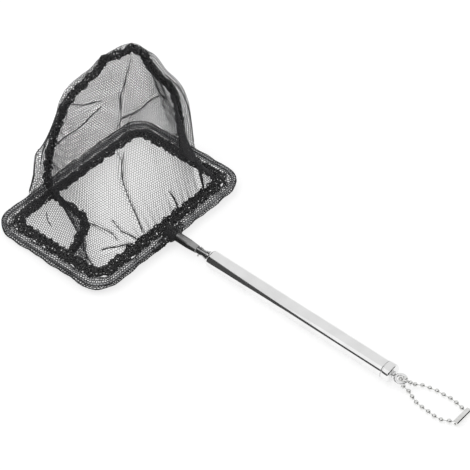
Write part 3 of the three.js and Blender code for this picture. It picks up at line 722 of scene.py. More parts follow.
def honeycomb(columns: int, rows: int, wrap: tuple[bool, bool]) -> tuple[Array, Array]:
    """The knots and strands of a knitted mesh with six-sided holes.

    Args:
        columns: how many knots lie along a row, an even number where it wraps.
        rows: how many rows there are, an even number where they wrap.
        wrap: whether the mesh meets itself along and across.

    Returns:
        Each knot's column and row, the row moved a little where a hole points up or down,
        and the pairs of knots that strands join.
    """
    i, j = np.meshgrid(np.arange(columns), np.arange(rows), indexing="ij")
    index = i * rows + j
    points_up = (i + j) % 2 == 0
    knots = np.stack([i, j + np.where(points_up, 1, -1) / 6], -1).reshape(-1, 2)
    along = index if wrap[0] else index[:-1]
    pairs = [np.stack([along, np.roll(index, -1, 0)[: len(along)]], -1).reshape(-1, 2)]
    up = index if wrap[1] else index[:, :-1]
    joined = points_up[:, : up.shape[1]]
    pairs.append(np.stack([up[joined], np.roll(index, -1, 1)[:, : up.shape[1]][joined]], -1))
    return knots, np.concatenate(pairs)


def normals_of(surface: Surface, u: Array, v: Array, step: float = 2e-3) -> Array:
    """Which way is out of a surface at its places, by small steps along and across."""
    along = surface(u + step, v) - surface(u - step, v)
    return unit(np.cross(along, surface(u, v + step) - surface(u, v - step)))


def even(count: float) -> int:
    """The nearest even number, from four up."""
    return max(4, 2 * round(count / 2))


@dataclass(frozen=True)
class Knit:
    """A knitted mesh: its pitch and its strands, in millimetres."""

    pitch: float = 1.7  # the real one is about 1.45, too fine to show in the render
    width: float = 0.24
    height: float = 0.46
    jitter: float = 0.06
    seed: int = 7

    def loosened(self, knots: Array) -> Array:
        """Moves each knot a little, by chance."""
        return knots + np.random.default_rng(self.seed).normal(0, self.jitter, knots.shape)

    def tube(
        self, name: str, surface: Surface, length: float, girth: float, closed: bool = False
    ) -> Object:
        """Knits a tube.

        Args:
            name: the piece's name.
            surface: places by the shares of its length and girth.
            length: how long it is.
            girth: how far round it is.
            closed: whether it also meets its own start.

        Returns:
            The piece.
        """
        columns, rows = even(2 * length / self.pitch), even(girth / (self.pitch * ROW_SHARE))
        knots, pairs = honeycomb(columns, rows, (closed, True))
        u, v = (knots / (columns if closed else columns - 1, rows)).T
        places = self.loosened(surface(u, v))
        return strands(name, places, normals_of(surface, u, v), pairs, self.width, self.height)


@dataclass(frozen=True)
class Fold:
    """A crease in the mesh, along shares of a panel's width and height."""

    line: Sequence[Pair]
    height: float
    width: float

    def at(self, count: int) -> Array:
        """Evenly spaced shares of the panel's width, and of its height, along the crease."""
        return Line(self.line).at(np.linspace(0, 1, count)).T


def gathers(s: Array, t: Array) -> Array:
    """How far the small gathers beside the band and the seam stand out, in millimetres."""
    foot = np.sin(137 * s + 3 * np.sin(31 * s)) + 0.6 * np.sin(211 * s + 1)
    top = np.sin(163 * s + 2 * np.sin(23 * s)) + 0.6 * np.sin(97 * s + 2)
    ends = 0.75 * foot * np.exp(-t / 0.07) + 0.75 * top * np.exp((t - 1) / 0.07)
    return ends * np.clip(np.minimum(t, 1 - t) / 0.02, 0, 1)


@dataclass
class Panel:
    """One panel of the bag: a sheet stretched between the band and the seam, with its folds."""

    foot: Line  # its edge in the band
    top: Line  # its edge in the seam
    shares: Sequence[Pair]  # which share of the seam each share of the foot reaches
    swell: Surface  # how far the panel stands out between its edges
    folds: Sequence[Fold]

    def __post_init__(self) -> None:
        """Lays the crests of the folds on the panel."""
        self.crests = []
        for fold in self.folds:
            crest = Line(self.plain(*fold.at(160)))
            count = max(30, int(crest.length / CREST_STEP))
            self.crests.append(crest.at(np.linspace(0, 1, count)))

    def plain(self, s: Array, t: Array) -> Array:
        """Places of the panel before it is folded, by shares of its width and height."""
        low, high = self.foot.at(s), self.top.at(np.interp(s, *zip(*self.shares)))
        rise = t[:, None]
        return low * (1 - rise) + high * rise + self.swell(s, t)

    def folded(self, s: Array, t: Array) -> Array:
        """Places of the folded panel, by shares of its width and height."""
        places, lift = self.plain(s, t), gathers(s, t)
        for fold, crest in zip(self.folds, self.crests):
            gaps = np.stack([np.linalg.norm(places - point, axis=1) for point in crest])
            which = gaps.argmin(0) / (len(crest) - 1)
            taper = np.sin(np.pi * (0.04 + 0.92 * which)) ** 0.6
            lift += fold.height * taper * np.exp(-((gaps.min(0) / fold.width) ** 2))
        return places + normals_of(self.plain, s, t) * lift[:, None]

    def cut(self, columns: int = 72, rows: int = 26) -> tuple[Array, ...]:
        """Cuts the panel flat, at its real size.

        Args:
            columns: how many places of it are taken along.
            rows: how many are taken across.

        Returns:
            Each place's two shares of the panel, its place in the flat cut, the triangles
            between the places, and the area of the cut in square millimetres.
        """
        grid = np.meshgrid(np.linspace(0, 1, columns), np.linspace(0, 1, rows), indexing="ij")
        shares = np.stack(grid, -1).reshape(-1, 2)
        first = (np.arange(columns - 1)[:, None] * rows + np.arange(rows - 1)).ravel()
        quads = np.stack([first, first + rows, first + rows + 1, first + 1], 1)
        places = self.plain(*shares.T)
        cutting = mesh_piece("cutting", places * MM, [quads])
        only(cutting)
        bpy.ops.object.mode_set(mode="EDIT")
        bpy.ops.mesh.select_all(action="SELECT")
        bpy.ops.uv.unwrap(method="MINIMUM_STRETCH", margin=0.0)
        bpy.ops.object.mode_set(mode="OBJECT")
        layer = cutting.data.uv_layers.active.data
        corners, owner = np.zeros(len(layer) * 2), np.zeros(len(layer), np.int32)
        layer.foreach_get("uv", corners)
        cutting.data.loops.foreach_get("vertex_index", owner)
        flat = np.zeros_like(shares)
        flat[owner] = corners.reshape(-1, 2)
        bpy.data.objects.remove(cutting)
        triangles = np.concatenate([quads[:, :3], quads[:, [0, 2, 3]]])
        sides, edges = (p[triangles[:, 1:]] - p[triangles[:, :1]] for p in (places, flat))
        area = np.linalg.norm(np.cross(sides[:, 0], sides[:, 1]), axis=1).sum()
        flat *= math.sqrt(area / np.abs(spanned(edges[:, 0], edges[:, 1])).sum())
        return shares, flat - flat.min(0), triangles, area / 2

    def knit(self, name: str, knit: Knit) -> tuple[Object, float]:
        """Lays the mesh on the panel's flat cut, and brings it back to the panel.

        Args:
            name: the piece's name.
            knit: the mesh.

        Returns:
            The piece, and the area of its cut in square millimetres.
        """
        shares, flat, triangles, area = self.cut()
        spacing = np.array([knit.pitch / 2, knit.pitch * ROW_SHARE])
        knots, pairs = honeycomb(*(flat.max(0) / spacing).astype(int), (False, False))
        spots = knots * spacing
        found = np.full_like(spots, np.nan)
        for triangle in triangles:
            low, high = flat[triangle].min(0), flat[triangle].max(0)
            some = np.flatnonzero(((spots >= low) & (spots <= high)).all(1))
            p, q, r = flat[triangle]
            one, two, away = q - p, r - p, spots[some] - p
            a, b = spanned(away, two) / spanned(one, two), spanned(one, away) / spanned(one, two)
            inside = np.minimum(np.minimum(a, b), 1 - a - b) >= -EDGE_SLACK
            found[some[inside]] = np.stack([1 - a - b, a, b], 1)[inside] @ shares[triangle]
        kept = ~np.isnan(found[:, 0])
        number = np.cumsum(kept) - 1
        s, t = found[kept].T
        places, out = knit.loosened(self.folded(s, t)), normals_of(self.folded, s, t)
        parts = [(places, out, number[pairs[kept[pairs].all(1)]])]
        for fold in self.folds:
            parts.append(self.pleat(fold, sum(len(part[0]) for part in parts)))
        made = (np.vstack(part) for part in zip(*parts))
        return strands(name, *made, knit.width, knit.height), area

    def pleat(self, fold: Fold, first: int, rows: int = 4) -> tuple[Array, Array, Array]:
        """Lays the doubled mesh that stands along a fold's crest.

        Args:
            fold: the fold.
            first: the number of the pleat's first knot.
            rows: how many rows of knots it has.

        Returns:
            Its knots, which way is out at each, and the pairs that strands join.
        """
        count = int(Line(self.folded(*fold.at(120))).length / PLEAT_STEP)
        s, t = fold.at(count)
        crest, out = self.folded(s, t), normals_of(self.plain, s, t)
        taper = np.sin(np.pi * np.linspace(0.03, 0.97, count)) ** 0.5
        rise = np.linspace(-0.55, 0.85, rows)[:, None] * taper * min(fold.height / 3, 1)
        zigzag = 0.14 * (-1.0) ** (np.arange(count) + np.arange(rows)[:, None])
        side = unit(np.cross(out, np.gradient(crest, axis=0)))
        places = crest + out * rise[..., None] + side * zigzag[..., None]
        index = first + np.arange(rows * count).reshape(rows, count)
        along = np.stack([index[:, :-1], index[:, 1:]], -1).reshape(-1, 2)
        across = np.stack([index[:-1], index[1:]], -1).reshape(-1, 2)
        return places.reshape(-1, 3), np.tile(out, (rows, 1)), np.concatenate([along, across])


@dataclass
class LumpyTube:
    """A lumpy tube round a line, as a surface by shares of its length and girth."""

    line: Line
    across: float  # half its width
    thick: float  # half its thickness
    rough: float  # how much its lumps stand out
    seed: int
    taper: float = 0.0  # how much thinner it is at its end, as a share

    def __post_init__(self) -> None:
        """Draws the lumps."""
        self.turns = np.random.default_rng(self.seed).uniform(0, 2 * np.pi, 8)

    def waves(self, u: Array, first: float, around: Array | float = 0.0) -> Array:
        """A sum of waves along the tube, from about -1 to 1, as a column."""
        made = np.zeros_like(u)
        for k in range(4):
            count = round(self.line.length / (first + 2.7 * k))
            made += np.sin(2 * np.pi * count * u + self.turns[k] * first + (k % 3) * around)
        return made[:, None] / 2.2

    def __call__(self, u: Array, v: Array) -> Array:
        """Places on the tube."""
        share, step = self.line.within(u), 2.0 / self.line.length
        way = unit(self.line.at(share + step) - self.line.at(share - step))
        level = (0.0, 0.0, 1.0) if self.thick != self.across else (0.3, 0.35, 0.88)
        side = unit(np.cross(way, level))
        up = np.cross(side, way)
        around = 2 * np.pi * v
        fat = 1 + self.rough * self.waves(share, 3.1, around)
        if self.line.closed:
            fat *= 1 - 0.2 * np.exp(-(((share[:, None] - 0.5) / 0.17) ** 2))
        stray = side * 0.55 * self.waves(share, 6.3) + up * 0.3 * self.waves(share, 5.1)
        shift = side * self.across * np.cos(around)[:, None]
        shift += up * self.thick * np.sin(around)[:, None]
        size = 1 - self.taper * share[:, None] ** 2
        return self.line.at(share) + (stray + shift * fat) * size


# The seam, from its left foot in the band over the top of the bag to its right foot.
SEAM = smooth_line(
    [
        (-40.5, -54.7, 6), (-43, -47, 4.4), (-47.5, -39.5, 3.4), (-51, -30.5, 3.0),
        (-58.5, -25.9, 3.0), (-67, -24.2, 3.2), (-76, -25.6, 4.8), (-84.5, -26.3, 10),
        (-90.5, -25, 17), (-92.3, -21.5, 28), (-91.2, -19.4, 40), (-88.8, -15, 55),
        (-85.4, -9, 72.5), (-82.5, -3.8, 81.5), (-78.5, 3.6, 89.3), (-73.8, 12.1, 97.6),
        (-71.3, 16.7, 105.6), (-68.1, 22.3, 105.4), (-65.8, 26.4, 106.4), (-63.2, 31.1, 108.2),
        (-59.7, 37.8, 102.5), (-57.7, 41, 92.8), (-54.2, 47.5, 78.8), (-50.7, 53.4, 69),
        (-49.2, 56.5, 56.4), (-48.4, 58.1, 42.3), (-47.7, 59, 26.8), (-46.5, 59.4, 12.5),
        (-46.3, 59.3, 8.0),
    ]
)
# Where the panel behind the seam stands furthest out, read along the camera's line of sight.
FAR_RIDGE = smooth_line(
    [
        (-98.6, -32.9, 13.3), (-97.4, -30.7, 23.4), (-95, -26.2, 40.6), (-91.4, -19.9, 56.7),
        (-87.5, -12.8, 77.4), (-84, -6.5, 86.2), (-78.3, 3.8, 92.6), (-74.3, 11.2, 99.7),
        (-69.9, 19, 105.4), (-64.4, 28.9, 108.0), (-58.5, 39.5, 100.6), (-56, 44.1, 95.8),
        (-53, 49.6, 83.3), (-48.2, 58.2, 69.3), (-45.5, 63.1, 54.3), (-44.2, 65.5, 36.2),
        (-43.3, 67, 10.4),
    ]
)
BEHIND = (-4.2, 4.7, -6.4)  # from the seam's plane back to where that ridge lies
NEAR_FOLDS = [
    Fold([
        (0.455, 0.63), (0.45, 0.51), (0.422, 0.42), (0.405, 0.29), (0.393, 0.14), (0.385, 0.06),
    ], 3.4, 1.3),
    Fold([(0.47, 0.53), (0.44, 0.475), (0.415, 0.38)], 2.0, 2.4),
    Fold([(0.307, 0.27), (0.31, 0.156), (0.35, 0.04)], 3.0, 1.2),
    Fold([(0.562, 0.16), (0.568, 0.094), (0.57, 0.03)], 2.4, 1.1),
    Fold([(0.21, 0.44), (0.247, 0.312), (0.275, 0.194), (0.277, 0.13)], 3.2, 1.3),
    Fold([(0.2, 0.156), (0.263, 0.081), (0.325, 0.044)], 2.6, 1.1),
    Fold([(0.068, 0.36), (0.11, 0.144), (0.125, 0.044)], 2.4, 1.0),
    Fold([(0.738, 0.3), (0.735, 0.238), (0.723, 0.163), (0.718, 0.075), (0.725, 0.03)], 3.6, 1.2),
    Fold([(0.603, 0.95), (0.573, 0.875), (0.535, 0.756), (0.495, 0.67)], 2.8, 1.0),
    Fold([(0.7, 0.77), (0.6, 0.688), (0.547, 0.663), (0.512, 0.694), (0.48, 0.663)], 2.6, 1.2),
    Fold([(0.56, 0.67), (0.52, 0.64), (0.49, 0.6)], 2.4, 2.2),
]
FAR_FOLDS = [
    Fold([(0.695, 0.419), (0.657, 0.4), (0.623, 0.388), (0.542, 0.438)], 1.5, 1.5),
    Fold([(0.61, 0.631), (0.647, 0.537), (0.693, 0.456)], 1.1, 1.4),
    Fold([(0.3, 0.56), (0.288, 0.46), (0.265, 0.38)], 1.1, 1.2),
    Fold([
        (0.425, 0.38), (0.43, 0.56), (0.44, 0.7), (0.48, 0.75), (0.56, 0.74), (0.7, 0.74),
    ], 2.1, 1.6),
    Fold([(0.82, 0.74), (0.9, 0.74), (0.95, 0.74), (0.985, 0.74)], 1.1, 1.3),
    Fold([(0.44, 0.87), (0.49, 0.86), (0.55, 0.87)], 1.3, 1.0),
]


@dataclass
class Bag:
    """The mesh bag with its seam, its bound band, and the sleeve round the wire."""

    band_inset: float = 10.5
    band_width: float = 7.3
    band_thickness: float = 3.4
    band_rise: float = 1.0
    seam_radius: float = 2.3
    sleeve_gap: float = 8.5  # between the sleeve's end and the middle of the near side
    sleeve_share: float = 0.96  # of the wire's line, since the sleeve is open at the throat
    bunch_girth: float = 16.0
    near_knit: Knit = Knit(seed=7)
    far_knit: Knit = Knit(pitch=1.65, width=0.4, height=0.2, seed=11)
    sleeve_knit: Knit = Knit(pitch=2.0, width=0.36, height=0.52)
    edge_knit: Knit = Knit(pitch=2.1, width=0.78, height=0.5, jitter=0.34, seed=23)
    bunch_knit: Knit = Knit(pitch=1.5, width=0.6, height=0.45, jitter=0.25, seed=29)

    def raised(self, places: Array) -> Array:
        """Places on the band's middle line, leaned with the hoop."""
        return leaned(places + (0, 0, self.band_rise))

    def foot(self, near: bool) -> Line:
        """The band's middle line under one panel, from the left side of the hoop to the right.

        Args:
            near: whether the panel is the one on the handle's side.

        Returns:
            The line.
        """
        ring = hoop_line(self.band_inset, BAND_CORNER)
        side = NET_WIDTH / 2 - self.band_inset
        first, last = CORNER_POINTS + 1, 3 * CORNER_POINTS + 2  # the far corners, in the ring
        if near:
            loop, shift = np.vstack([ring[last:-1], ring[:first]]), 5
        else:
            loop, shift = ring[first:last][::-1], -5
        start, end = (SEAM[0][0] + shift, -side, 0), (SEAM[-1][0] + shift, side, 0)
        return Line(self.raised(np.vstack([start, loop, end])))

    def near_shape(self) -> Panel:
        """The panel on the handle's side: it swells out, and sags in beside the right leg."""

        def swell(s: Array, t: Array) -> Array:
            """How far the panel stands away from its straight threads."""
            arch = np.sin(np.pi * t)
            out = 6.0 * eased((s - 0.1) / 0.25) * np.sin(np.pi * s) * arch
            out += 0.7 * np.sin(9 * s + 2) * arch * np.sin(5 * t + 3 * s)
            sag = 9.5 * np.exp(-(((s - 0.86) / 0.1) ** 2)) * arch
            return out[:, None] * [0.75, -0.3, 0.6] + sag[:, None] * [-0.5, -0.75, -0.4]

        shares = [(0, 0.03), (0.2, 0.26), (1, 1)]
        return Panel(self.foot(True), Line(SEAM), shares, swell, NEAR_FOLDS)

    def far_shape(self) -> Panel:
        """The panel behind the seam: it stands up to its ridge and turns over to the seam."""
        foot, ridge, seam = self.foot(False), Line(FAR_RIDGE), Line(SEAM)
        shares = [(0, 0.03), (0.42, 0.28), (1, 1)]
        peak = 0.74  # the ridge's share of the panel's height

        def swell(s: Array, t: Array) -> Array:
            """How far the panel stands away from its straight threads."""
            high = seam.at(np.interp(s, *zip(*shares)))
            middle = foot.at(s) * (1 - peak) + high * peak
            target = ridge.at(np.interp(s, [0.42, 1], [0, 1])) + BEHIND
            turned = np.sin(np.pi * t ** (math.log(0.5) / math.log(peak)))[:, None]
            belly = (np.sin(np.pi * s) * np.sin(np.pi * t))[:, None] * (1 - turned)
            out = turned * (target - middle) + 6.5 * belly * [-0.95, -0.1, 0.15]
            return eased((s - 0.34) / 0.14)[:, None] * out

        return Panel(foot, seam, shares, swell, FAR_FOLDS)

    def panel(self, name: str, node: str, shape: Panel, knit: Knit) -> None:
        """Knits a panel of the bag and logs the area of its cut.

        Args:
            name: the piece's name.
            node: the CAD node that it stands for.
            shape: the panel's shape.
            knit: its mesh.
        """
        piece, area = shape.knit(name, knit)
        settle(piece, "net_head", "net_mesh", Finish.NYLON, node, crease=None)
        log.info("%s is cut from %.0f square millimetres", name, area)

    def bind(self, piece: Object, *nodes: str) -> None:
        """Settles a piece of the binding."""
        settle(piece, "net_head", "binding", Finish.THREAD, *nodes, crease=None)

    def bound(self, name: str, line: Line, across: float, thick: float, node: str) -> None:
        """Makes a bound edge: bunched mesh, loose yarns inside it, and its stitches.

        Args:
            name: what its pieces' names start with.
            line: its middle line.
            across: half its width.
            thick: half its thickness.
            node: the CAD node that it stands for.
        """
        skin = LumpyTube(line, across, thick, 0.2, 5)
        girth = math.pi * (across + thick)
        bunch = self.edge_knit.tube(name + "_bunch", skin, line.length, girth, line.closed)
        self.bind(bunch, node)
        self.yarns(name + "_yarns", skin, 5 if line.closed else 4)
        self.stitches(name + "_stitches", skin)

    def yarns(self, name: str, skin: LumpyTube, count: int, step: float = 1.15) -> None:
        """Lays loose yarns along a bound edge, inside its skin.

        Args:
            name: the piece's name.
            skin: the edge's surface.
            count: how many yarns there are.
            step: the length of a piece of yarn between two bends.
        """
        chance = np.random.default_rng(17)
        steps = int(skin.line.length / step)
        u = np.linspace(0, 0.9995, steps)
        middle, here = skin.line.at(u), u * skin.line.length
        parts = []
        for k in range(count):
            turns = chance.uniform(0, 2 * np.pi, 4)
            wander = np.sin(here / 4.1 + turns[0]) + np.sin(here / 7.3 + turns[1])
            depth = 0.5 + 0.2 * np.sin(here / 3.3 + turns[2]) + 0.16 * np.sin(here / 8.1 + turns[3])
            away = (skin(u, k / count + 0.12 * wander) - middle) * depth[:, None]
            parts.append((middle + away, unit(away), chain(steps, k * steps)))
        made = (np.vstack(part) for part in zip(*parts))
        self.bind(strands(name, *made, 0.95, 0.65))

    def stitches(self, name: str, skin: LumpyTube, spacing: float = 2.3) -> None:
        """Winds an overlock thread round a bound edge.

        Args:
            name: the piece's name.
            skin: the edge's surface.
            spacing: from one turn of the thread to the next.
        """
        chance = np.random.default_rng(31)
        turns = int(skin.line.length / spacing)
        count = turns * 9
        u = np.linspace(0, 1, count)
        v = np.linspace(0, turns, count) + chance.normal(0, 0.035, count)
        slant = 1.3 * np.sin(2 * np.pi * v) / skin.line.length
        middle = skin.line.at(u)
        away = skin(np.clip(u + slant, 0, 0.9999), v) - middle
        away *= 1.09 + chance.normal(0, 0.05, (count, 1))
        self.bind(strands(name, middle + away, unit(away), chain(count), 0.55, 0.45))

    def sleeve(self) -> None:
        """Knits the loose fold of mesh round the wire, open at the throat."""
        # The sleeve's section round the wire: down, and in to the hoop's middle.
        places = [
            (0.5, -1.95, 0), (-1.2, -1.7, 0), (-2.0, -0.3, 0), (-1.9, 1.2, 0), (-1.3, 3.0, 0),
            (-0.5, 4.6, 0), (0.6, 4.9, 0), (1.8, 3.9, 0), (3.0, 2.2, 0), (3.75, 0.6, 0),
            (3.5, -0.7, 0), (2.2, -1.6, 0), (0.5, -1.95, 0),
        ]
        section = Line(smooth_line(places, 6))
        ring = Line(hoop_line(WIRE_INSET, WIRE_CORNER))
        gap = self.sleeve_gap / ring.length

        def surface(u: Array, v: Array) -> Array:
            """Places on the sleeve, by shares of its length and girth."""
            share = gap + np.clip(u, 0, 1) * (1 - 2 * gap)
            way = unit(ring.at(share + 0.004) - ring.at(share - 0.004))
            inward = np.stack([-way[:, 1], way[:, 0], 0 * share], 1)
            down, reach, _ = section.at(v).T
            length = share * ring.length
            loose = 1 + 0.1 * np.sin(length / 4.7) + 0.08 * np.sin(length / 2.1 + 1)
            # On the far side the sleeve's outer edge lies flatter and further out.
            far = np.exp(-(((length - ring.length / 2 + 14) / 42.0) ** 2))
            flap = 0.6 * far * np.clip(-down - 0.2, 0, 2) * np.clip(1.8 - np.abs(reach), 0, 2)
            down = np.where(down > 0, np.minimum(down * loose, 3.9), down * loose - flap * 0.4)
            corner = 1.8 * np.abs(2 * way[:, 0] * way[:, 1]) * np.clip(reach / 4, 0, 1)
            places = ring.at(share) + inward * (reach * loose + corner - flap)[:, None]
            places[:, 2] -= down
            return leaned(places)

        length = ring.length * self.sleeve_share
        piece = self.sleeve_knit.tube("sleeve_net", surface, length, section.length)
        settle(piece, "net_head", "net_mesh", Finish.NYLON, "mesh_sleeve", crease=None)

    def throat(self, turns: int = 21, count: int = 520) -> None:
        """Makes the gathered mesh round the wire's legs, and the sleeve's bunched ends.

        Args:
            turns: how many turns the gathered mesh takes round the legs.
            count: how many places they have.
        """
        chance = np.random.default_rng(41)
        line = Line([(-7.2, 0, 6), (-3.5, 0, 6), (2.2, 0, 6.2)])
        u = np.linspace(0, 1, count)
        around = 2 * np.pi * (turns * u + chance.normal(0, 0.08, count))
        size = 0.72 + 0.36 * np.sin(np.pi * u) + chance.normal(0, 0.07, count)
        out = np.stack([0.25 * np.sin(3 * around), 5.6 * np.cos(around), 2.3 * np.sin(around)], 1)
        path = line.at(u) + out * size[:, None]
        self.bind(strands("throat_gather", path, out, chain(count), 1.1, 0.8), "throat_bunch")
        for name, end, x, fat in (("left_bunch", -19.5, -1.5, 2.5), ("right_bunch", 9.8, -3, 3.6)):
            route = [(x, 0.12 * end, 5.6), (x, 0.6 * end, 5.6), (-2.0, end, 5.9)]
            hem = Line(smooth_line(route, 10))
            skin = LumpyTube(hem, fat, 0.88 * fat, 0.22, 9, taper=0.45)
            self.bind(self.bunch_knit.tube(name, skin, hem.length, self.bunch_girth))

    def build(self) -> None:
        """Makes the bag's pieces."""
        band = Line(self.raised(hoop_line(self.band_inset, BAND_CORNER)))
        self.bound("band", band, self.band_width / 2, self.band_thickness / 2, "bound_band")
        self.bound("seam", Line(SEAM), self.seam_radius, self.seam_radius, "bag_seam")
        self.sleeve()
        self.throat()
        self.panel("near_net", "near_panel", self.near_shape(), self.near_knit)
        self.panel("far_net", "far_panel", self.far_shape(), self.far_knit)


# The middles of the chain's balls, from one end in the connector through the eye to the other.
BALLS = np.array(
    [
        (227.55, 8.3, 2.3), (223.01, 9.64, 1.79), (218.36, 10.65, 1.65), (213.63, 11.1, 1.65),
        (208.9, 10.58, 1.65), (204.15, 10.36, 1.65), (199.51, 9.32, 1.65), (194.98, 7.98, 1.8),
        (191.86, 4.75, 3.05), (190.41, 1.62, 6.27), (187.6, -0.04, 9.49), (184.35, 0, 6.1),
        (186.79, -0.34, 2), (191.39, -1.09, 1.64), (195.7, -3.2, 1.65), (200.16, -4.99, 1.65),
        (204.91, -5.64, 1.65), (209.71, -5.84, 1.65), (214.5, -6.29, 1.65),
        (219.27, -5.84, 1.64), (223.47, -3.57, 1.73), (227.55, -1.1, 2.3),
    ]
)


@dataclass
class BallChain:
    """The ball chain and its connector."""

    ball: float = 1.6
    wall: float = 0.3
    hole: float = 0.5
    rod: float = 0.3
    rod_head: float = 0.65
    rod_seat: float = 0.45
    connector: Point = (227.55, 3.6, 2.3)
    channel_half: float = 6.9
    channel_radius: float = 2.2
    channel_hole: float = 0.9
    channel_slot: float = 110.0  # the width of its open side, in degrees

    def shell(self) -> Object:
        """Turns one hollow ball, its two holes drawn in a little where the rods leave."""
        hole, bore = self.hole, self.ball - self.wall
        outer, inner = np.radians(np.linspace(20, 160, 15)), np.radians(np.linspace(155, 25, 9))
        profile = [(self.ball * math.cos(t), self.ball * math.sin(t)) for t in outer]
        profile += [(-1.38, hole), (-1.2, hole)]
        profile += [(bore * math.cos(t), bore * math.sin(t)) for t in inner]
        return turned_loose("ball_shell", [*profile, (1.2, hole), (1.38, hole)], 28)

    def link(self, reach: float) -> Object:
        """Turns one rod with its domed head."""
        start, head = self.ball - 0.35, self.rod_head
        profile = [(start, 0), (start, self.rod), (reach - head * 0.8, self.rod)]
        dome = ((-0.4, 0.9), (0, 1), (0.5, 0.85), (0.8, 0.4), (0.85, 0))
        profile += [(reach + head * x, head * radius) for x, radius in dome]
        return turned_loose("ball_rod", profile, 14)

    def placed(self, pattern: Object, name: str, middle: Array, way: Array) -> Object:
        """Copies a pattern with its own mesh, points it along a way and puts it in place."""
        turned = Vector((1, 0, 0)).rotation_difference(Vector(way)).to_matrix()
        copy = add_object(name, pattern.data.copy())
        return set_vertices(copy, vertices(pattern) @ np.array(turned).T + row(middle))

    def balls(self) -> None:
        """Places the balls, each with its rod to the next."""
        shell = self.shell()
        rods: dict[float, Object] = {}
        for k, here in enumerate(BALLS):
            before, after = BALLS[max(k - 1, 0)], BALLS[min(k + 1, len(BALLS) - 1)]
            piece = self.placed(shell, f"ball_{k + 1:02d}", here, after - before)
            if k < len(BALLS) - 1:
                reach = round(float(np.linalg.norm(after - here)) - self.rod_seat, 2)
                if reach not in rods:
                    rods[reach] = self.link(reach)
                rod = self.placed(rods[reach], "rod", here, after - here)
                only(piece)
                rod.select_set(True)
                bpy.ops.object.join()
            node = f"chain_ball_{k + 1:02d}"
            settle(piece, "bead_chain", "nickel", Finish.NICKEL, node, crease=40)
        for pattern in (shell, *rods.values()):
            bpy.data.objects.remove(pattern)

    def channel(self) -> None:
        """Makes the connector: a tube pinched in at its ends and opened along one side."""
        half, radius, hole = self.channel_half, self.channel_radius, self.channel_hole
        end = [(half - 0.7, radius), (half - 0.35, radius - 0.04), (half - 0.12, radius - 0.2)]
        end += [(half, radius - 0.5), (half, 1.2), (half - 0.05, hole), (half - 0.4, hole)]
        end += [(half - 0.4, radius - 0.6), (half - 0.7, radius - 0.35)]
        profile = end + [(-x, off) for x, off in reversed(end)]
        piece = turned_loose("connector_skin", profile, 72)
        along, y, up = vertices(piece).T
        set_vertices(piece, np.stack([-y, along, up], 1))
        only(piece)
        bpy.ops.object.mode_set(mode="EDIT")
        bpy.ops.mesh.select_all(action="DESELECT")
        bpy.ops.object.mode_set(mode="OBJECT")
        for face in piece.data.polygons:
            x, _, z = face.center
            face.select = abs(math.degrees(math.atan2(z, -x))) < self.channel_slot / 2
        bpy.ops.object.mode_set(mode="EDIT")
        bpy.ops.mesh.delete(type="FACE")
        bpy.ops.mesh.select_mode(type="EDGE")
        bpy.ops.mesh.select_all(action="DESELECT")
        bpy.ops.mesh.select_non_manifold(extend=False, use_wire=False, use_multi_face=False)
        bpy.ops.mesh.edge_face_add()
        bpy.ops.mesh.select_mode(type="VERT")
        leave_edit()
        set_vertices(piece, vertices(piece) + row(self.connector))
        settle(piece, "bead_chain", "nickel", Finish.NICKEL, "chain_connector", crease=40)

    def build(self) -> None:
        """Makes the chain's pieces."""
        self.balls()
        self.channel()


class Hidden:
    """Finishes for the CAD nodes that stay as they are, inside the tubes."""

    KEPT = {
        "joining_plug": Finish.DRAWN_TUBE,
        "head_spring": Finish.BRONZE,
        "middle_spring": Finish.BRONZE,
        "piston_bush": Finish.ACETAL,
        "rear_plug": Finish.ACETAL,
    }

    def build(self) -> None:
        """Dresses the kept nodes."""
        for name, finish in self.KEPT.items():
            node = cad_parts[name]
            node.data.materials.clear()
            node.data.materials.append(finish.built())
            log.info("%s: %s", name, finish.value.name)


# Grey flags, one white card, and a sheet of painted shade on the floor, that only the bright
# metal mirrors: each one's name, its colour and its outline in metres.
FLAGS = (
    ("side_flag", "#4a4a4a", [
        (-1.6, -0.6, 0), (-1.6, -0.6, 1.2), (-0.8, -0.6, 1.0), (-0.45, -0.6, 0.5),
        (-0.35, -0.6, 0.37), (-0.225, -0.6, 0.24), (0.3, -0.6, 0.16), (0.3, -0.6, 0),
    ]),
    ("end_flag", "#262626", [
        (0.85, -0.9, 0), (0.85, -0.9, 0.55), (0.85, 0.9, 0.55), (0.85, 0.9, 0),
    ]),
    ("camera_flag", "#1c1c1c", [
        (0.3, -0.51, 0), (0.3, -0.51, 0.36), (0.6, -0.24, 0.36), (0.6, -0.24, 0),
    ]),
    ("side_card", "#ffffff", [
        (-0.35, -0.61, 0), (-0.352, -0.61, 0.39), (-0.48, -0.61, 0.96), (0.6, -0.61, 0.96),
        (0.6, -0.61, 0),
    ]),
    ("front_flag", "#303030", [
        (-0.16, -0.09, 0), (-0.16, -0.09, 0.135), (-0.125, -0.09, 0.135),
        (-0.109, -0.09, 0.096), (-0.097, -0.09, 0.058), (-0.09, -0.09, 0),
    ]),
    # A dark sheet laid on the floor beside the net, seen only by mirrors: painted shade, so that
    # the metal mirrors a darker floor there.
    ("painted_floor_shade", "#444444", [
        (-0.4, -0.6, 0.0003), (-0.282, -0.6, 0.0003), (-0.033, -0.122, 0.0003),
        (-0.021, -0.04, 0.0003), (-0.049, -0.024, 0.0003), (-0.046, -0.002, 0.0003),
        (-0.07, -0.002, 0.0003),
    ]),
)


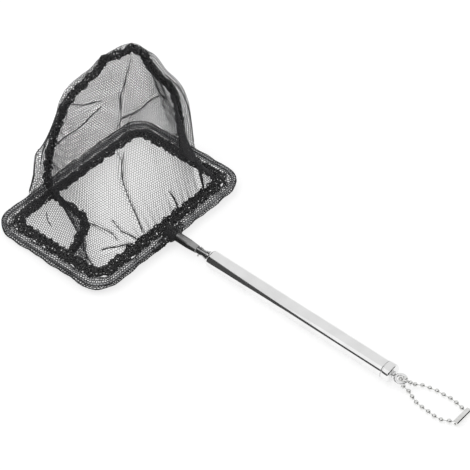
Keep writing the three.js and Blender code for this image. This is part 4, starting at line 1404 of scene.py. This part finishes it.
@dataclass
class Studio:
    """The camera, the pale floor and backdrop, the soft lamps and the flags."""

    azimuth: float = 41.237
    elevation: float = 45.527
    aim: Point = (-36.234, 25.556, 6.409)
    distance: float = 1200.0
    focal: float = 1854.7  # in pixels, as the picture's width is
    picture: int = 470
    sensor: float = 36.0
    glow: float = 0.7  # of the floor, where the camera or a mirror sees it

    def camera(self) -> None:
        """Sets the camera at the photograph's angle."""
        a, e = math.radians(self.azimuth), math.radians(self.elevation)
        forward = Vector((-math.sin(a) * math.cos(e), math.cos(a) * math.cos(e), -math.sin(e)))
        data = bpy.data.cameras.new("camera")
        data.lens = self.focal / self.picture * self.sensor
        data.sensor_width = self.sensor
        data.clip_start, data.clip_end = 0.01, 20
        camera = add_object("camera", data)
        camera.location = (Vector(self.aim) - forward * self.distance) * MM
        camera.rotation_euler = (math.pi / 2 - e, 0, a)
        bpy.context.scene.camera = camera

    def seen(self, tree: Tree) -> Node:
        """Adds nodes that give one for rays from the camera, mirrors and glass."""
        path = add_node(tree, "LightPath")
        rays = {0: (path, "Is Glossy Ray"), 1: (path, "Is Transmission Ray")}
        mirror = add_node(tree, "Math", links=rays, operation="MAXIMUM")
        rays = {0: (path, "Is Camera Ray"), 1: mirror}
        return add_node(tree, "Math", links=rays, operation="MAXIMUM")

    def world(self) -> None:
        """Makes the world: white to the camera, pale to mirrors, a soft fill to all else."""
        world = bpy.data.worlds.new("studio")
        world.use_nodes = True
        tree = world.node_tree
        tree.nodes.clear()
        fill, pale, white = (
            add_node(tree, "Background", {"Color": linear("#ffffff"), "Strength": strength})
            for strength in (0.66, 0.84, 1.0)
        )
        soft = add_node(tree, "MixShader", links={0: self.seen(tree), 1: fill, 2: pale})
        camera = (add_node(tree, "LightPath"), "Is Camera Ray")
        mix = add_node(tree, "MixShader", links={0: camera, 1: soft, 2: white})
        add_node(tree, "OutputWorld", links={"Surface": mix})
        bpy.context.scene.world = world

    def floor(self) -> None:
        """Lays the floor, white to the camera where no shadow falls."""
        bpy.ops.object.select_all(action="DESELECT")
        bpy.ops.mesh.primitive_plane_add(size=6.0, location=(0, 0, -0.0002))
        floor = bpy.context.object
        floor.name = "floor"
        material, tree = start_material("studio_paper")
        paper = add_node(tree, "BsdfDiffuse", {"Color": linear("#a6a6a6")})
        lift = add_node(tree, "Math", {1: self.glow}, {0: self.seen(tree)}, operation="MULTIPLY")
        glow = add_node(tree, "Emission", {"Color": linear("#ffffff")}, {"Strength": lift})
        both = add_node(tree, "AddShader", links={0: paper, 1: glow})
        add_node(tree, "OutputMaterial", links={"Surface": both})
        floor.data.materials.append(material)

    def lamp(self, name: str, place: Point, size: float, watts: float) -> None:
        """Hangs a soft lamp that points at the net."""
        data = bpy.data.lights.new(name, "AREA")
        data.size = size
        data.energy = watts
        lamp = add_object(name, data)
        lamp.location = place
        lamp.rotation_euler = (-Vector(place)).to_track_quat("-Z", "Y").to_euler()
        lamp.visible_glossy = False

    def flag(self, name: str, colour: str, corners: Sequence[Point]) -> None:
        """Stands up a flag, or lays the sheet of painted shade, that only mirrors see."""
        flag = mesh_piece(name, np.array(corners), [np.arange(len(corners))[None, :]])
        material, tree = start_material(name + "_cloth")
        cloth = add_node(tree, "Emission", {"Color": linear(colour)})
        add_node(tree, "OutputMaterial", links={"Surface": cloth})
        flag.data.materials.append(material)
        for rays in ("camera", "diffuse", "shadow", "transmission"):
            setattr(flag, "visible_" + rays, False)

    def build(self) -> None:
        """Sets the scene."""
        self.camera()
        self.world()
        self.floor()
        self.lamp("key", (-0.5, -0.4, 1.4), 1.3, 7.5)
        self.lamp("fill", (0.9, 0.8, 1.2), 1.0, 2.5)
        for flag in FLAGS:
            self.flag(*flag)
        bpy.context.scene.view_settings.view_transform = "Standard"


def main() -> None:
    for group in (Studio(), Grip(), *STAGES, Hoop(), Bag(), BallChain(), Hidden()):
        group.build()


if __name__ == "__main__":
    logging.basicConfig(level=logging.INFO, format="%(message)s")
    main()
